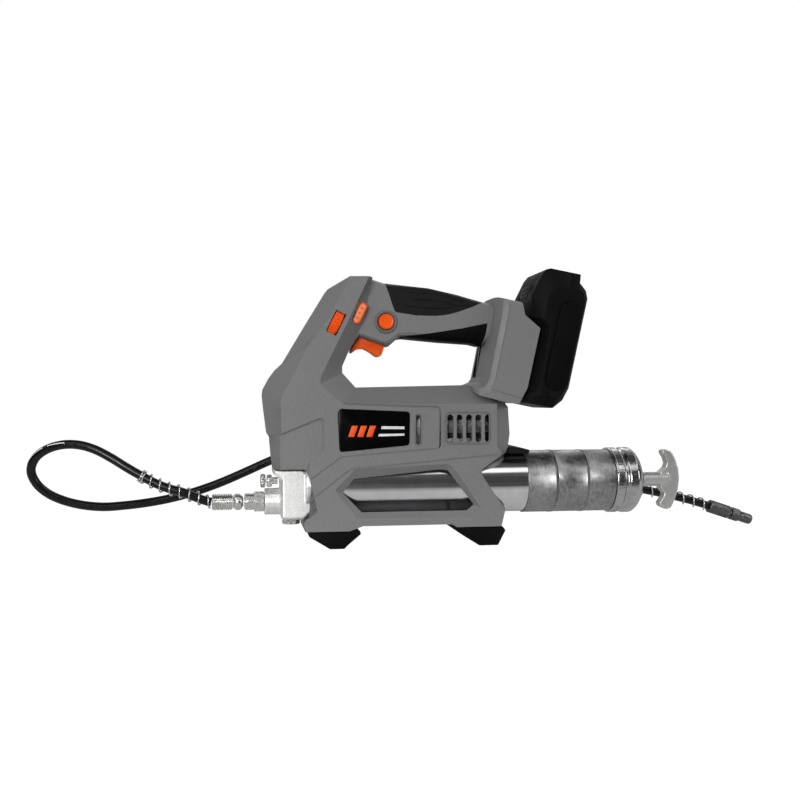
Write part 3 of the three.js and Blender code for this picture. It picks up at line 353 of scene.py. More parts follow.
def softened(obj, width, segments=2, angle=28, smooth_angle=35, keep_joint=False):
    """Rounds an object's sharp edges by width millimetres, but not those on the halves' joint face."""
    bevel = obj.modifiers.new("bevel", "BEVEL")
    bevel.width = width * MM
    bevel.segments = segments
    bevel.miter_outer = "MITER_ARC"
    bevel.angle_limit = math.radians(angle)
    bevel.limit_method = "ANGLE"
    if keep_joint:
        bevel.limit_method = "WEIGHT"
        shape = bmesh.new()
        shape.from_mesh(obj.data)
        weight = shape.edges.layers.float.new("bevel_weight_edge")
        for edge in shape.edges:
            on_joint = all(abs(v.co.y) < JOINT_FACE * MM for v in edge.verts)
            sharp = edge.calc_face_angle(0) > math.radians(angle)
            edge[weight] = 1.0 if sharp and not on_joint else 0.0
        shape.to_mesh(obj.data)
        shape.free()
    return settled(obj, smooth_angle)


def carved(obj, cutters, operation="DIFFERENCE"):
    for cutter in cutters:
        boolean = obj.modifiers.new("boolean", "BOOLEAN")
        boolean.object = cutter
        boolean.operation = operation
        boolean.solver = "EXACT"
    settled(obj)
    for cutter in cutters:
        bpy.data.objects.remove(cutter)
    return obj


def remeshed(obj, voxel, rounds=4, angle=60):
    """Melts a solid's parts into one skin with soft edges, as a casting has."""
    remesh = obj.modifiers.new("remesh", "REMESH")
    remesh.mode = "VOXEL"
    remesh.voxel_size = voxel * MM
    relax = obj.modifiers.new("relax", "SMOOTH")
    relax.factor = 0.5
    relax.iterations = rounds
    return settled(obj, angle)


def cad_copy(name, node, look):
    """A CAD node's shape as a new mesh, with its coplanar triangles joined."""
    source = frame["nodes"][node].data
    mesh = bpy.data.meshes.new(name)
    corners = [v.co.copy() for v in source.vertices]
    mesh.from_pydata(corners, [], [list(p.vertices) for p in source.polygons])
    shape = bmesh.new()
    shape.from_mesh(mesh)
    bmesh.ops.remove_doubles(shape, verts=shape.verts, dist=0.002 * MM)
    # The halves' joint face stays as it is: merged into one polygon it would fill its own notches.
    loose = [v for v in shape.verts if abs(v.co.y) > JOINT_FACE * MM]
    lines = [e for e in shape.edges if any(abs(v.co.y) > JOINT_FACE * MM for v in e.verts)]
    bmesh.ops.dissolve_limit(shape, angle_limit=COPLANAR, verts=loose, edges=lines)
    shape.to_mesh(mesh)
    shape.free()
    return smooth(object_of(name, mesh, look))


def placed(obj, *nodes, body=None):
    """Rides an object on the body of the CAD nodes it stands for, and hides them."""
    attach(obj, body or NODE_BODY[nodes[0]])
    if nodes:
        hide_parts(*nodes)
    return obj


def detail(obj, like):
    """Rides a small extra piece with a CAD node."""
    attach(obj, NODE_BODY[like])
    return obj


def filleted(points, radius, steps=3, closed=False):
    """Rounds the corners of a line of (a, b) points."""
    result = []
    count = len(points)
    for i, point in enumerate(points):
        if not closed and i in (0, count - 1):
            result.append(point)
            continue
        here = Vector(point)
        before = Vector(points[i - 1]) - here
        after = Vector(points[(i + 1) % count]) - here
        if before.length < 1e-6 or after.length < 1e-6 or abs(before.angle(after) - math.pi) < 0.05:
            result.append(point)
            continue
        reach = min(radius, before.length * 0.45, after.length * 0.45)
        start, end = here + before.normalized() * reach, here + after.normalized() * reach
        for k in range(steps + 1):
            t = k / steps
            result.append(tuple(start * (1 - t) ** 2 + here * 2 * t * (1 - t) + end * t * t))
    return result


def lathe(name, profile, look, origin=(0, 0, 0), along=(1, 0, 0), steps=64, closed=False,
          reshape=None, angle=35):
    """Turns a list of (radius, station) round an axis. reshape(radius, station, turn) may vary the radius."""
    along = Vector(along).normalized()
    side = along.cross(Vector((0, 0, 1)) if abs(along.z) < 0.9 else Vector((0, 1, 0))).normalized()
    up = side.cross(along)
    points, rings, faces = [], [], []
    for radius, station in profile:
        centre = Vector(origin) + along * station
        if radius < 1e-6:
            rings.append([len(points)] * steps)
            points.append(centre)
            continue
        ring = []
        for i in range(steps):
            turn = math.tau * i / steps
            here = reshape(radius, station, turn) if reshape else radius
            ring.append(len(points))
            points.append(centre + (side * math.cos(turn) + up * math.sin(turn)) * here)
        rings.append(ring)
    pairs = list(zip(rings, rings[1:])) + ([(rings[-1], rings[0])] if closed else [])
    for first, second in pairs:
        for i in range(steps):
            j = (i + 1) % steps
            corners = []
            for corner in (first[i], first[j], second[j], second[i]):
                if corner not in corners:
                    corners.append(corner)
            if len(corners) > 2:
                faces.append(corners)
    return mesh_object(name, points, faces, look, angle)


def prism(name, outline, y0, y1, look, bevel=0.0, segments=2):
    """A flat plate from an (x, z) outline, between two values of y."""
    count = len(outline)
    points = [(x, y, z) for y in (y0, y1) for x, z in outline]
    faces = [list(range(count)), list(range(2 * count - 1, count - 1, -1))]
    faces += [[i, (i + 1) % count, count + (i + 1) % count, count + i] for i in range(count)]
    obj = mesh_object(name, points, faces, look)
    return softened(obj, bevel, segments) if bevel else obj


def ribbon(line, width):
    """The outline of a band that follows a line of (x, z) points."""
    left, right = [], []
    for i, point in enumerate(line):
        here = Vector(point)
        before = (here - Vector(line[i - 1])).normalized() if i else None
        after = (Vector(line[i + 1]) - here).normalized() if i + 1 < len(line) else None
        before, after = before or after, after or before
        middle = (before + after).normalized()
        normal = Vector((-middle.y, middle.x))
        reach = width / 2 / max(0.4, normal.dot(Vector((-before.y, before.x))))
        left.append(tuple(here + normal * reach))
        right.append(tuple(here - normal * reach))
    return left + right[::-1]


def tube_mesh(path, radius, sides, turn_of=None):
    """Points, faces and ring count of a capped tube that follows path without twisting."""
    points, faces = [], []
    normal = None
    for i, here in enumerate(path):
        ahead = (path[min(i + 1, len(path) - 1)] - path[max(i - 1, 0)]).normalized()
        if normal is None:
            normal = ahead.cross(Vector((0, 1, 0)) if abs(ahead.y) < 0.9 else Vector((0, 0, 1)))
        normal = (normal - ahead * normal.dot(ahead)).normalized()
        other = ahead.cross(normal)
        start = turn_of(i / (len(path) - 1)) if turn_of else 0
        for k in range(sides):
            turn = start + math.tau * k / sides
            points.append(here + (normal * math.cos(turn) + other * math.sin(turn)) * radius)
    rings = len(path)
    for i in range(rings - 1):
        for k in range(sides):
            j = (k + 1) % sides
            faces.append([i * sides + k, i * sides + j, (i + 1) * sides + j, (i + 1) * sides + k])
    faces.append(list(range(sides))[::-1])
    faces.append([(rings - 1) * sides + k for k in range(sides)])
    return points, faces


def tube(name, path, radius, look, sides=12):
    points, faces = tube_mesh([Vector(p) for p in path], radius, sides)
    return mesh_object(name, points, faces, look, 50)


# ---------------------------------------------------------------- hose

# The hose's centreline, as in the CAD: from the ferrule round the loop to the coupler.
HOSE_ROUTE = [
    (-236, 0, 40), (-244, 0, 40.4), (-256, 0, 44.6), (-268, 0, 49.4), (-279, 0.3, 52.6), (-290, 1, 57),
    (-302, 2, 63.4), (-316, 3.5, 71.6), (-330, 5.5, 80.4), (-344, 8, 87.6), (-358, 11, 91.4),
    (-372.5, 14, 91.4), (-386.5, 17.5, 87), (-396.5, 21, 79), (-400.4, 24, 68.4), (-396.8, 26.5, 57.4),
    (-387.8, 28.5, 48), (-374, 30, 40.8), (-357, 31.5, 36), (-339, 33, 34), (-321, 34.5, 34.8),
    (-303, 36, 36.6), (-285, 37.5, 39.4), (-266, 39, 43.8), (-247, 40.5, 49.6), (-229, 41.7, 56.4),
    (-210, 42.5, 64.6), (-191, 43, 73), (-170, 43, 81.5), (-145, 43, 89), (-118, 43, 94),
    (-88, 43, 96.6), (-56, 43, 96.4), (-24, 43, 93), (8, 43, 86.8), (40, 43, 78.6), (72, 43, 69),
    (104, 43, 59), (136, 43, 50.4), (160, 42.8, 45.4), (182, 42.3, 41), (206, 41.4, 36), (232, 40.2, 29.6),
    (252, 39, 23.6),
]
COUPLER_DIRECTION = Vector((20, -1.2, -6.6)).normalized()


def centripetal(points, per_span=14):
    """A centripetal Catmull-Rom line through the points."""
    points = [Vector(p) for p in points]
    points = [points[0] * 2 - points[1]] + points + [points[-1] * 2 - points[-2]]
    line = []
    for p0, p1, p2, p3 in zip(points, points[1:], points[2:], points[3:]):
        t1 = math.sqrt((p1 - p0).length)
        t2 = t1 + math.sqrt((p2 - p1).length)
        t3 = t2 + math.sqrt((p3 - p2).length)
        for k in range(per_span):
            t = t1 + (t2 - t1) * k / per_span
            a1 = p0 * ((t1 - t) / t1) + p1 * (t / t1)
            a2 = p1 * ((t2 - t) / (t2 - t1)) + p2 * ((t - t1) / (t2 - t1))
            a3 = p2 * ((t3 - t) / (t3 - t2)) + p3 * ((t - t2) / (t3 - t2))
            b1 = a1 * ((t2 - t) / t2) + a2 * (t / t2)
            b2 = a2 * ((t3 - t) / (t3 - t1)) + a3 * ((t - t1) / (t3 - t1))
            line.append(b1 * ((t2 - t) / (t2 - t1)) + b2 * ((t - t1) / (t2 - t1)))
    line.append(points[-2])
    return line


def evenly(line, step):
    """The same line as points step millimetres apart."""
    result, left = [line[0].copy()], step
    for a, b in zip(line, line[1:]):
        span = (b - a).length
        place = left
        while place <= span:
            result.append(a.lerp(b, place / span))
            place += step
        left = place - span
    result.append(line[-1].copy())
    return result


def add_hose(route):
    """The hose with its pale broken line, which turns once as the hose goes round the loop."""
    sides = 24
    points, faces = tube_mesh(
        route, HOSE_RADIUS, sides,
        lambda share: 0.85 + math.pi * 0.72 * max(0, min(1, (share - 0.08) / 0.2)))
    hose = mesh_object("hose_tube", points, faces, "hose_rubber", 50)
    hose.data.materials.append(LOOKS["pale_print"])
    for i, polygon in enumerate(hose.data.polygons[: (len(route) - 1) * sides]):
        ring, side = divmod(i, sides)
        polygon.material_index = int(side == 0 and ring % 9 < 7 and route[ring].x < PRINT_UP_TO)
    placed(hose, "hose")
    return hose


def guard_spring(name, node, route, start, end, coils, wire=0.75, radius=5.4):
    """Wire coils round a stretch of the hose, measured in millimetres along it."""
    line = evenly(route, 0.5)
    first, last = int(start / 0.5), int(end / 0.5)
    points = []
    steps = coils * 28
    for i in range(steps + 1):
        share = i / steps
        # The coils at the far end lie close together, the others are open.
        eased = GUARD_OPEN * share / GUARD_CLOSED_AT if share < GUARD_CLOSED_AT else (
            GUARD_OPEN + (1 - GUARD_OPEN) * (share - GUARD_CLOSED_AT) / (1 - GUARD_CLOSED_AT))
        place = first + (last - first) * eased
        k = min(int(place), len(line) - 2)
        here = line[k].lerp(line[k + 1], place - int(place))
        ahead = (line[min(k + 2, len(line) - 1)] - line[max(k - 2, 0)]).normalized()
        side = ahead.cross(Vector((0, 1, 0))).normalized()
        other = ahead.cross(side)
        turn = math.tau * coils * share
        points.append(here + (side * math.cos(turn) + other * math.sin(turn)) * radius)
    spring = tube(name, points, wire, "steel", 10)
    return placed(spring, node)


def hexed(flats):
    """A reshape that limits a turned radius to a hexagon's flats."""
    def limit(radius, _station, turn):
        part = (turn % (math.pi / 3)) - math.pi / 6
        return min(radius, flats / 2 / math.cos(part))
    return limit


def knurled(start, end, teeth, depth, lead):
    """A reshape that cuts diamond knurling between two stations."""
    def cut(radius, station, turn):
        if not start < station < end:
            return radius
        a = math.sin(teeth / 2 * turn + lead * station)
        b = math.sin(teeth / 2 * turn - lead * station)
        return radius - depth * (1 - abs(a) * abs(b))
    return cut


def stations(profile, step):
    """Adds points to a profile's long spans, so that a pattern has a mesh to follow."""
    result = [profile[0]]
    for (r0, s0), (r1, s1) in zip(profile, profile[1:]):
        parts = max(1, math.ceil(abs(s1 - s0) / step))
        result += [(r0 + (r1 - r0) * k / parts, s0 + (s1 - s0) * k / parts) for k in range(1, parts + 1)]
    return result


def outlet_flats(radius, station, turn):
    """A large hexagon next to the pump head and a small one on the nose."""
    if station > -205:
        return hexed(17)(radius, station, turn)
    return hexed(14.4)(radius, station, turn) if radius > 6.9 else radius


def add_hose_fittings():
    at = (0, 0, OUTLET_Z)
    swivel = lathe("swivel_nut_body", filleted([
        (0, -223.4), (5.2, -223.4), (6.6, -222.2), (7.4, -220.2), (7.4, -218), (6.6, -216),
        (4.6, -215.2), (4.4, -214.4), (0, -214.4)], 0.5), "zinc_plate", at, steps=72, reshape=hexed(14.2))
    placed(swivel, "swivel_nut")
    ribs = [(0, -242), (6.3, -242)]
    for i in range(9):
        x = -241.6 + i * 1.93
        ribs += [(6.7, x), (7.4, x + 0.35), (7.4, x + 1.05), (6.5, x + 1.4), (6.5, x + 1.9)]
    ribs += [(6.5, -224), (5.6, -223.8), (0, -223.8)]
    ferrule = lathe("hose_ferrule_ribs", ribs, "zinc_plate", at, steps=64, angle=45)
    placed(ferrule, "hose_ferrule")
    outlet = lathe("outlet_fitting_body", filleted([
        (0, -213.6), (6.3, -213.6), (7.6, -212.3), (7.6, -205.6), (6.9, -205), (8.7, -204.9), (9.8, -204),
        (9.8, -197.2), (8.9, -196.2), (4.3, -196), (4.3, -190), (0, -190)], 0.35), "zinc_plate", at, steps=96,
        reshape=outlet_flats)
    placed(outlet, "outlet_fitting")
    end = HOSE_ROUTE[-1]
    sleeve = lathe("coupler_ferrule_knurl", stations(filleted([
        (0, 0), (5.9, 0), (6.6, 0.7), (6.6, 21.2), (6.1, 22), (0, 22)], 0.3), 0.4), "black_steel", end,
        COUPLER_DIRECTION, 120, reshape=knurled(1.2, 20.8, 44, 0.5, 2.2), angle=60)
    placed(sleeve, "coupler_ferrule")
    nose = lathe("grease_coupler_body", filleted([
        (0, 22.3), (4.4, 22.3), (4.6, 23.6), (6.9, 24.8), (6.9, 31.6), (5.6, 33.6), (5.2, 35), (4.9, 36.4),
        (5.2, 37.2), (5.2, 45.4), (4.4, 47), (2.2, 47), (1.8, 45.6), (0, 45.2)], 0.35), "black_steel", end,
        COUPLER_DIRECTION, 96, reshape=lambda r, s, t: hexed(12.6)(r, s, t) if 24 < s < 33.7 else r)
    placed(nose, "grease_coupler")
    return [swivel, ferrule, outlet, sleeve, nose]


def add_cord():
    route = evenly(centripetal(HOSE_ROUTE), 2.2)
    inside = [p for p in route if (p - route[0]).length > 5]
    hose = add_hose(inside)
    guards = [
        guard_spring("front_guard_coils", "front_guard_spring", route, 7, 73, 9),
        guard_spring("rear_guard_coils", "rear_guard_spring", route[::-1], 4, 88, 9),
    ]
    fittings = add_hose_fittings()


# ---------------------------------------------------------------- housing

PANEL_GROOVE = [
    (-127.2, 127.2), (-68, 124.8), (-46, 124.6), (-43, 123.4), (-41.8, 120.3), (-41.8, 90.6), (-42.9, 88.6),
    (-45.4, 87.6), (-129.3, 81.3), (-158.4, 60.4),
]
PANEL_BEAD = [(-126.5, 128.5), (-68, 126.2), (-45.6, 125.9), (-42, 124.4), (-40.5, 120.6), (-40.5, 91)]
LOWER_GROOVE = [(18.9, 82.4), (-121.7, 70.3), (-152.6, 46.6)]
NOSE_PANEL = [
    (-200, 96.5), (-181.5, 102.4), (-151.2, 114.5), (-147, 115.9), (-144.8, 114.2), (-144.2, 87.4),
    (-146.2, 83.6), (-158, 74), (-159, 60), (-200, 60),
]
VENT_FRAME = (-37.4, 4.4, 91.4, 120.8)
VENT_COUNT = 5
VENT_PITCH = 8.6
VENT_FIRST_X = -32.4
VENT_HALF = 2.8
VENT_HEIGHTS = (93.2, 118.1)
VENT_DEPTH_Y = 20
SINGLE_SLOT = (-63.5, -59.3, 91.4, 117.8)
LOCK_CENTRE = (-88, 201.3)
LEVEL_CENTRE = (-112.8, -24, 208)
DIAL_CENTRE = (-134.5, -21.5, 198.5)
DIAL_RIBS = 30
HEAD_TILT = math.radians(26)
HANDLE_SEAM = [(8.5, 217), (8.2, 210), (7.8, 201)]
FOOT_SEAM = [(4.8, 140.5), (16, 137.2), (30, 133.4), (33, 132.6)]
FOOT_CREASE = [
    (21.3, 219), (21, 207.5), (17.8, 193), (14.7, 178.6), (11.4, 163), (8.1, 147.6), (5.2, 141.8),
]


def surface_line(obj, line, side):
    """Points on an object's surface under a line of (x, z) points, seen from one side."""
    shape = bmesh.new()
    shape.from_mesh(obj.data)
    tree = BVHTree.FromBMesh(shape)
    shape.free()
    dense = []
    for a, b in zip(line, line[1:]):
        dense += [Vector(a).lerp(Vector(b), k / 8) for k in range(8)]
    dense.append(Vector(line[-1]))
    result = []
    for x, z in dense:
        hit = tree.ray_cast(Vector((x, side * 60, z)) * MM, Vector((0, -side, 0)))[0]
        if hit:
            result.append(hit / MM)
    return result


def rounded_box(x0, x1, z0, z1, radius, steps=6):
    outline = []
    for cx, cz, start in ((x1, z1, 0), (x0, z1, 1), (x0, z0, 2), (x1, z0, 3)):
        sx, sz = (1 if cx == x1 else -1), (1 if cz == z1 else -1)
        for k in range(steps + 1):
            turn = (start + k / steps) * math.pi / 2
            outline.append((
                cx - sx * radius + radius * math.cos(turn), cz - sz * radius + radius * math.sin(turn)))
    return outline


def inset_box(box, by, radius):
    """A rounded box that lies by millimetres inside the given one, or outside where by is negative."""
    x0, x1, z0, z1 = box
    return rounded_box(x0 + by, x1 - by, z0 + by, z1 - by, radius)


def ring_piece(name, outer, inner, y_base, y_top, look, bevel=0.3):
    """A flat ring between two outlines with the same number of points."""
    count = len(outer)
    points = [(x, y, z) for outline, y in ((outer, y_base), (outer, y_top), (inner, y_top), (inner, y_base))
              for x, z in outline]
    faces = []
    for loop in range(4):
        for i in range(count):
            j = (i + 1) % count
            a, b = loop * count, ((loop + 1) % 4) * count
            faces.append([a + i, a + j, b + j, b + i])
    return softened(mesh_object(name, points, faces, look), bevel, 3)


def sunk_panel(outline, y_side, depth, slope):
    """A cutter for a recess with sloping edges, on the side that y_side gives."""
    centre = Vector((sum(x for x, _ in outline), sum(z for _, z in outline))) / len(outline)
    small = [tuple(Vector(p) + (centre - Vector(p)).normalized() * slope) for p in outline]
    count = len(outline)
    side = 1 if y_side > 0 else -1
    points = [(x, y_side + side, z) for x, z in outline] + [(x, y_side, z) for x, z in outline]
    points += [(x, y_side - side * depth, z) for x, z in small]
    faces = [list(range(count)), list(range(2 * count, 3 * count))]
    for layer in range(2):
        a, b = layer * count, (layer + 1) * count
        faces += [[a + i, a + (i + 1) % count, b + (i + 1) % count, b + i] for i in range(count)]
    return mesh_object("cutter", points, faces, "grey_plastic")


def add_housing():
    for node, side in (("housing_left", -1), ("housing_right", 1)):
        shell = cad_copy(node + "_shell", node, "grey_plastic")
        outer, inner = side * (HOUSING_HALF + 1), side * (HOUSING_HALF - 0.85)
        cutters = [
            prism("cutter", ribbon(line, 1.15), min(outer, inner), max(outer, inner), "grey_plastic")
            for line in (PANEL_GROOVE, LOWER_GROOVE)
        ]
        cutters.append(sunk_panel(NOSE_PANEL, side * HOUSING_HALF, 1.7, 2.6))
        for i in range(VENT_COUNT):
            middle = VENT_FIRST_X + i * VENT_PITCH
            slot = rounded_box(middle - VENT_HALF, middle + VENT_HALF, *VENT_HEIGHTS, VENT_HALF - 0.05)
            deep = side * VENT_DEPTH_Y
            cutters.append(prism("cutter", slot, min(outer, deep), max(outer, deep), "grey_plastic"))
        for line in (HANDLE_SEAM, FOOT_SEAM):
            points, faces = tube_mesh(surface_line(shell, line, side), 0.42, 8)
            cutters.append(mesh_object("cutter", points, faces, "grey_plastic"))
        crease = surface_line(shell, FOOT_CREASE, side)
        detail(tube(f"foot_crease_{node[8:]}", crease, 0.4, "grey_plastic", 10), node)
        bead = [(x, side * (HOUSING_HALF + 0.05), z) for x, z in PANEL_BEAD]
        detail(tube(f"panel_bead_{node[8:]}", bead, 0.45, "grey_plastic", 10), node)
        carved(shell, cutters)
        softened(shell, 0.45, 2, 24, keep_joint=True)
        placed(shell, node)
        vent = ring_piece(
            f"vent_frame_{node[8:]}", inset_box(VENT_FRAME, 0, 4.5), inset_box(VENT_FRAME, 1.6, 3.4),
            side * (HOUSING_HALF - 0.4), side * (HOUSING_HALF + 0.75), "grey_plastic")
        detail(vent, node)
        rim = ring_piece(
            f"slot_rim_{node[8:]}", inset_box(SINGLE_SLOT, -1.3, 3), inset_box(SINGLE_SLOT, 0, 2),
            side * (HOUSING_HALF - 0.4), side * (HOUSING_HALF + 0.5), "grey_plastic")
        detail(rim, node)
    add_lock_rings()


def add_lock_rings():
    """Raised rings round the cross-bolt lock on both sides of the handle."""
    x, z = LOCK_CENTRE
    for name, side in (("left", -1), ("right", 1)):
        profile = filleted([
            (7.6, 15.5), (10.4, 15.5), (10.4, 18.6), (9.6, 19.3), (8.3, 19.3), (7.6, 18.7), (7.6, 15.5)], 0.4)
        ring = lathe(f"lock_ring_{name}", profile, "grey_plastic", (x, 0, z), (0, side, 0), 72, closed=True)
        detail(ring, "housing_left" if side < 0 else "housing_right")


def add_badge():
    plate = softened(cad_copy("badge_plate_gloss", "badge_plate", "badge_gloss"), 0.6, 3)
    placed(plate, "badge_plate")
    y0, y1 = -34.45, -33.9
    bars = [[(x, 98.6), (x + 5.2, 98.6), (x + 8.6, 108.4), (x + 3.4, 108.4)] for x in (-124, -116, -108)]
    for i, outline in enumerate(bars):
        detail(prism(f"badge_bar_{i + 1}", outline, y0, y1, "orange_plastic", 0.12), "badge_plate")
    stripes = [
        [(-95, 105.4), (-74, 105.2), (-74, 107.6), (-94.2, 107.9)],
        [(-97.4, 98.9), (-74, 99.4), (-74, 101.4), (-96.7, 101.1)],
    ]
    for i, outline in enumerate(stripes):
        detail(prism(f"badge_stripe_{i + 1}", outline, y0, y1, "pale_print", 0.12), "badge_plate")


# ---------------------------------------------------------------- grips, feet and controls

GRIP_GROOVES = [
    [(-66, 227.5), (-52, 227.6), (-40, 226.6), (-27, 223.6), (-16, 220)],
    [(-64, 221.8), (-50, 221.4), (-36, 219.8), (-22, 216.4), (-12, 217)],
    [(-70, 215.6), (-55, 214.2), (-40, 213.4), (-27, 214.4)],
]


def add_grips():
    top = cad_copy("grip_top_rubber", "grip_top", "grip_rubber")
    cutters = []
    for side in (-1, 1):
        for line in GRIP_GROOVES:
            path = surface_line(top, line, side)
            if len(path) > 3:
                points, faces = tube_mesh(path, 0.75, 8)
                cutters.append(mesh_object("cutter", points, faces, "grip_rubber"))
    carved(top, cutters)
    placed(softened(top, 0.35, 2, 40), "grip_top")
    placed(softened(cad_copy("grip_lower_rubber", "grip_lower", "grip_rubber"), 0.4, 2, 40), "grip_lower")


def add_feet():
    for node in ("front_foot", "rear_foot"):
        placed(softened(cad_copy(node + "_pad", node, "black_rubber"), 0.9, 3), node)


def turned_about(obj, origin, axis, angle):
    """Turns a mesh about an axis through a point in millimetres."""
    spot = Matrix.Translation(Vector(origin) * MM)
    obj.data.transform(spot @ Matrix.Rotation(angle, 4, axis) @ spot.inverted())
    return obj


def add_controls():
    placed(softened(cad_copy("trigger_finger", "trigger", "orange_plastic"), 1.1, 3), "trigger")
    x, z = LOCK_CENTRE
    lock = lathe("lock_button_bolt", filleted([
        (0, -20.7), (5.4, -20.8), (6.1, -21.2), (7, -20.2), (7, 20.2), (6.1, 21.2), (5.4, 20.8),
        (0, 20.7)], 0.5), "orange_plastic", (x, 0, z), (0, 1, 0), 72)
    placed(lock, "lock_button")
    add_level_button()
    add_speed_dial()


def add_level_button():
    x, _, z = LEVEL_CENTRE
    outline = rounded_box(x - 4, x + 4, z - 10.25, z + 10.25, 3.9, 8)
    inner = rounded_box(x - 2.7, x + 2.7, z - 8.9, z + 8.9, 2.65, 8)
    body = prism("level_button_rim", outline, -26.4, -16, "orange_plastic", 0.7, 3)
    placed(turned_about(body, LEVEL_CENTRE, "Y", HEAD_TILT), "level_button")
    pad = prism("level_button_pad", inner, -26.75, -25.5, "peach_plastic", 0.3, 2)
    detail(turned_about(pad, LEVEL_CENTRE, "Y", HEAD_TILT), "level_button")
    for i, height in enumerate((203.4, 208, 212.6)):
        mark = rounded_box(-114.2, -111.4, height - 0.7, height + 0.7, 0.6, 4)
        dash = prism(f"level_mark_{i + 1}", mark, -26.95, -26.5, "orange_plastic", 0.1)
        detail(turned_about(dash, LEVEL_CENTRE, "Y", HEAD_TILT), "level_button")


def add_speed_dial():
    """A ribbed wheel with rounded flanks, part sunk in the housing."""
    profile = filleted([(0, -4.4), (12.6, -4.4), (14, -3.4), (14, 3.4), (12.6, 4.4), (0, 4.4)], 0.7)

    def ribbed(radius, _station, turn):
        if radius < 12:
            return radius
        return radius - 0.9 * max(0, math.cos(DIAL_RIBS * turn)) ** 0.8

    wheel = lathe("speed_dial_wheel", profile, "orange_plastic", DIAL_CENTRE,
                  (math.cos(HEAD_TILT), 0, -math.sin(HEAD_TILT)), DIAL_RIBS * 10, reshape=ribbed, angle=50)
    placed(wheel, "speed_dial")


# ---------------------------------------------------------------- pump head and barrel


def add_pump_head():
    placed(remeshed(cad_copy("pump_head_casting", "pump_head", "cast_aluminium"), 0.62, 5), "pump_head")
    plug = lathe("head_plug_hex", filleted([
        (0, 19.5), (7.4, 19.5), (8.3, 20.6), (8.3, 24), (7.6, 24.4), (5, 24.4), (5, 28.8), (0, 28.8)], 0.3),
        "zinc_plate", (-172, 0, 0), (0, 0, 1), 72,
        reshape=lambda r, s, t: hexed(14)(r, s, t) if s < 24.4 else r)
    placed(plug, "head_plug")
    at = (0, 0, BLEEDER_Z)
    body = lathe("bleeder_body_turned", filleted([
        (1.2, -193.8), (4.6, -193.8), (5.6, -192.8), (5.6, -190.4), (5.1, -189.3), (3.1, -189), (3.1, -184),
        (1.2, -184), (1.2, -193.8)], 0.3), "zinc_plate", at, steps=64, closed=True)
    placed(body, "bleeder_body")
    knob = lathe("bleeder_knob_turned", stations(filleted([
        (0, -199.5), (4.9, -199.5), (6.1, -198.6), (6.2, -196.2), (5.4, -195), (0.95, -194.7), (0.95, -186),
        (0, -186)], 0.4), 0.4), "zinc_plate", at, steps=96, reshape=knurled(-198.6, -196, 40, 0.25, 0))
    placed(knob, "bleeder_knob")


def round_tube(name, inner, outer, x0, x1, look, steps=128):
    profile = filleted([(outer, x0), (outer, x1), (inner, x1), (inner, x0), (outer, x0)], 0.2)
    return lathe(name, profile, look, (0, 0, BARREL_Z), steps=steps, closed=True)


def add_barrel():
    at = (0, 0, BARREL_Z)
    barrel = round_tube("barrel_tube", BARREL_RADIUS - 1.2, BARREL_RADIUS - 0.5, -145, 123.5, "chrome")
    placed(barrel, "barrel")
    out, low = BARREL_RADIUS + 0.5, BARREL_RADIUS - 0.15
    sleeve = [(BARREL_RADIUS - 0.2, SLEEVE_START), (out - 0.1, SLEEVE_START), (out, SLEEVE_START + 0.4)]
    for start in (67.5, 97.5):
        sleeve += [
            (out, start), (out + 0.35, start + 0.5), (low, start + 1.3), (low, start + 2),
            (out + 0.35, start + 2.9), (out, start + 3.4)]
    sleeve += [(out, 126.1), (BARREL_RADIUS - 0.2, 126.1)]
    placed(lathe("barrel_sleeve_wrap", sleeve, "galvanised", at, steps=128, closed=True), "barrel_sleeve")
    cap = filleted([
        (28.3, 126.5), (30, 126.5), (30.8, 127.3), (30.8, 134.3), (30, 135.2), (29.2, 135.9), (29.2, 138.2),
        (30.3, 139.2), (31, 140.4), (31, 147.4), (30.3, 148.6), (28.6, 151), (25.6, 153.4), (21.5, 155.6),
        (16, 157.9), (10, 160), (4.4, 161), (4.4, 158.5), (18, 153.5), (25, 149.5), (28.3, 144),
        (28.3, 126.5)], 0.7)
    rim = knurled(128, 133.8, 150, 0.4, 1.6)
    end = lathe("end_cap_turned", stations(cap, 0.6), "bright_plate", at, steps=240, closed=True,
                reshape=lambda r, s, t: rim(r, s, t) if r > 29 else r, angle=60)
    placed(end, "end_cap")
    handle = remeshed(cad_copy("pull_handle_casting", "pull_handle", "handle_aluminium"), 0.6, 14)
    placed(handle, "pull_handle")
    saddle = softened(cad_copy("barrel_saddle_wedge", "barrel_saddle", "black_plastic"), 0.5, 2)
    placed(saddle, "barrel_saddle")


# ---------------------------------------------------------------- battery, clip and screws


def add_battery():
    for node in ("battery_front", "battery_back"):
        placed(softened(cad_copy(node + "_case", node, "battery_plastic"), 0.8, 3, 20), node)
    for node in ("battery_bumper_left", "battery_bumper_right"):
        placed(softened(cad_copy(node + "_pad", node, "black_rubber"), 0.9, 3), node)
    latch = cad_copy("battery_latch_bar", "battery_latch", "black_plastic")
    placed(softened(latch, 0.4, 2), "battery_latch")


def add_clip():
    placed(softened(cad_copy("hose_clip_loop", "hose_clip", "black_plastic"), 0.5, 2), "hose_clip")


SCREWS = {1: (-124, 229), 2: (-184, 112), 3: (-60, 135.5), 4: (26, 204), 5: (-140, 20.6)}


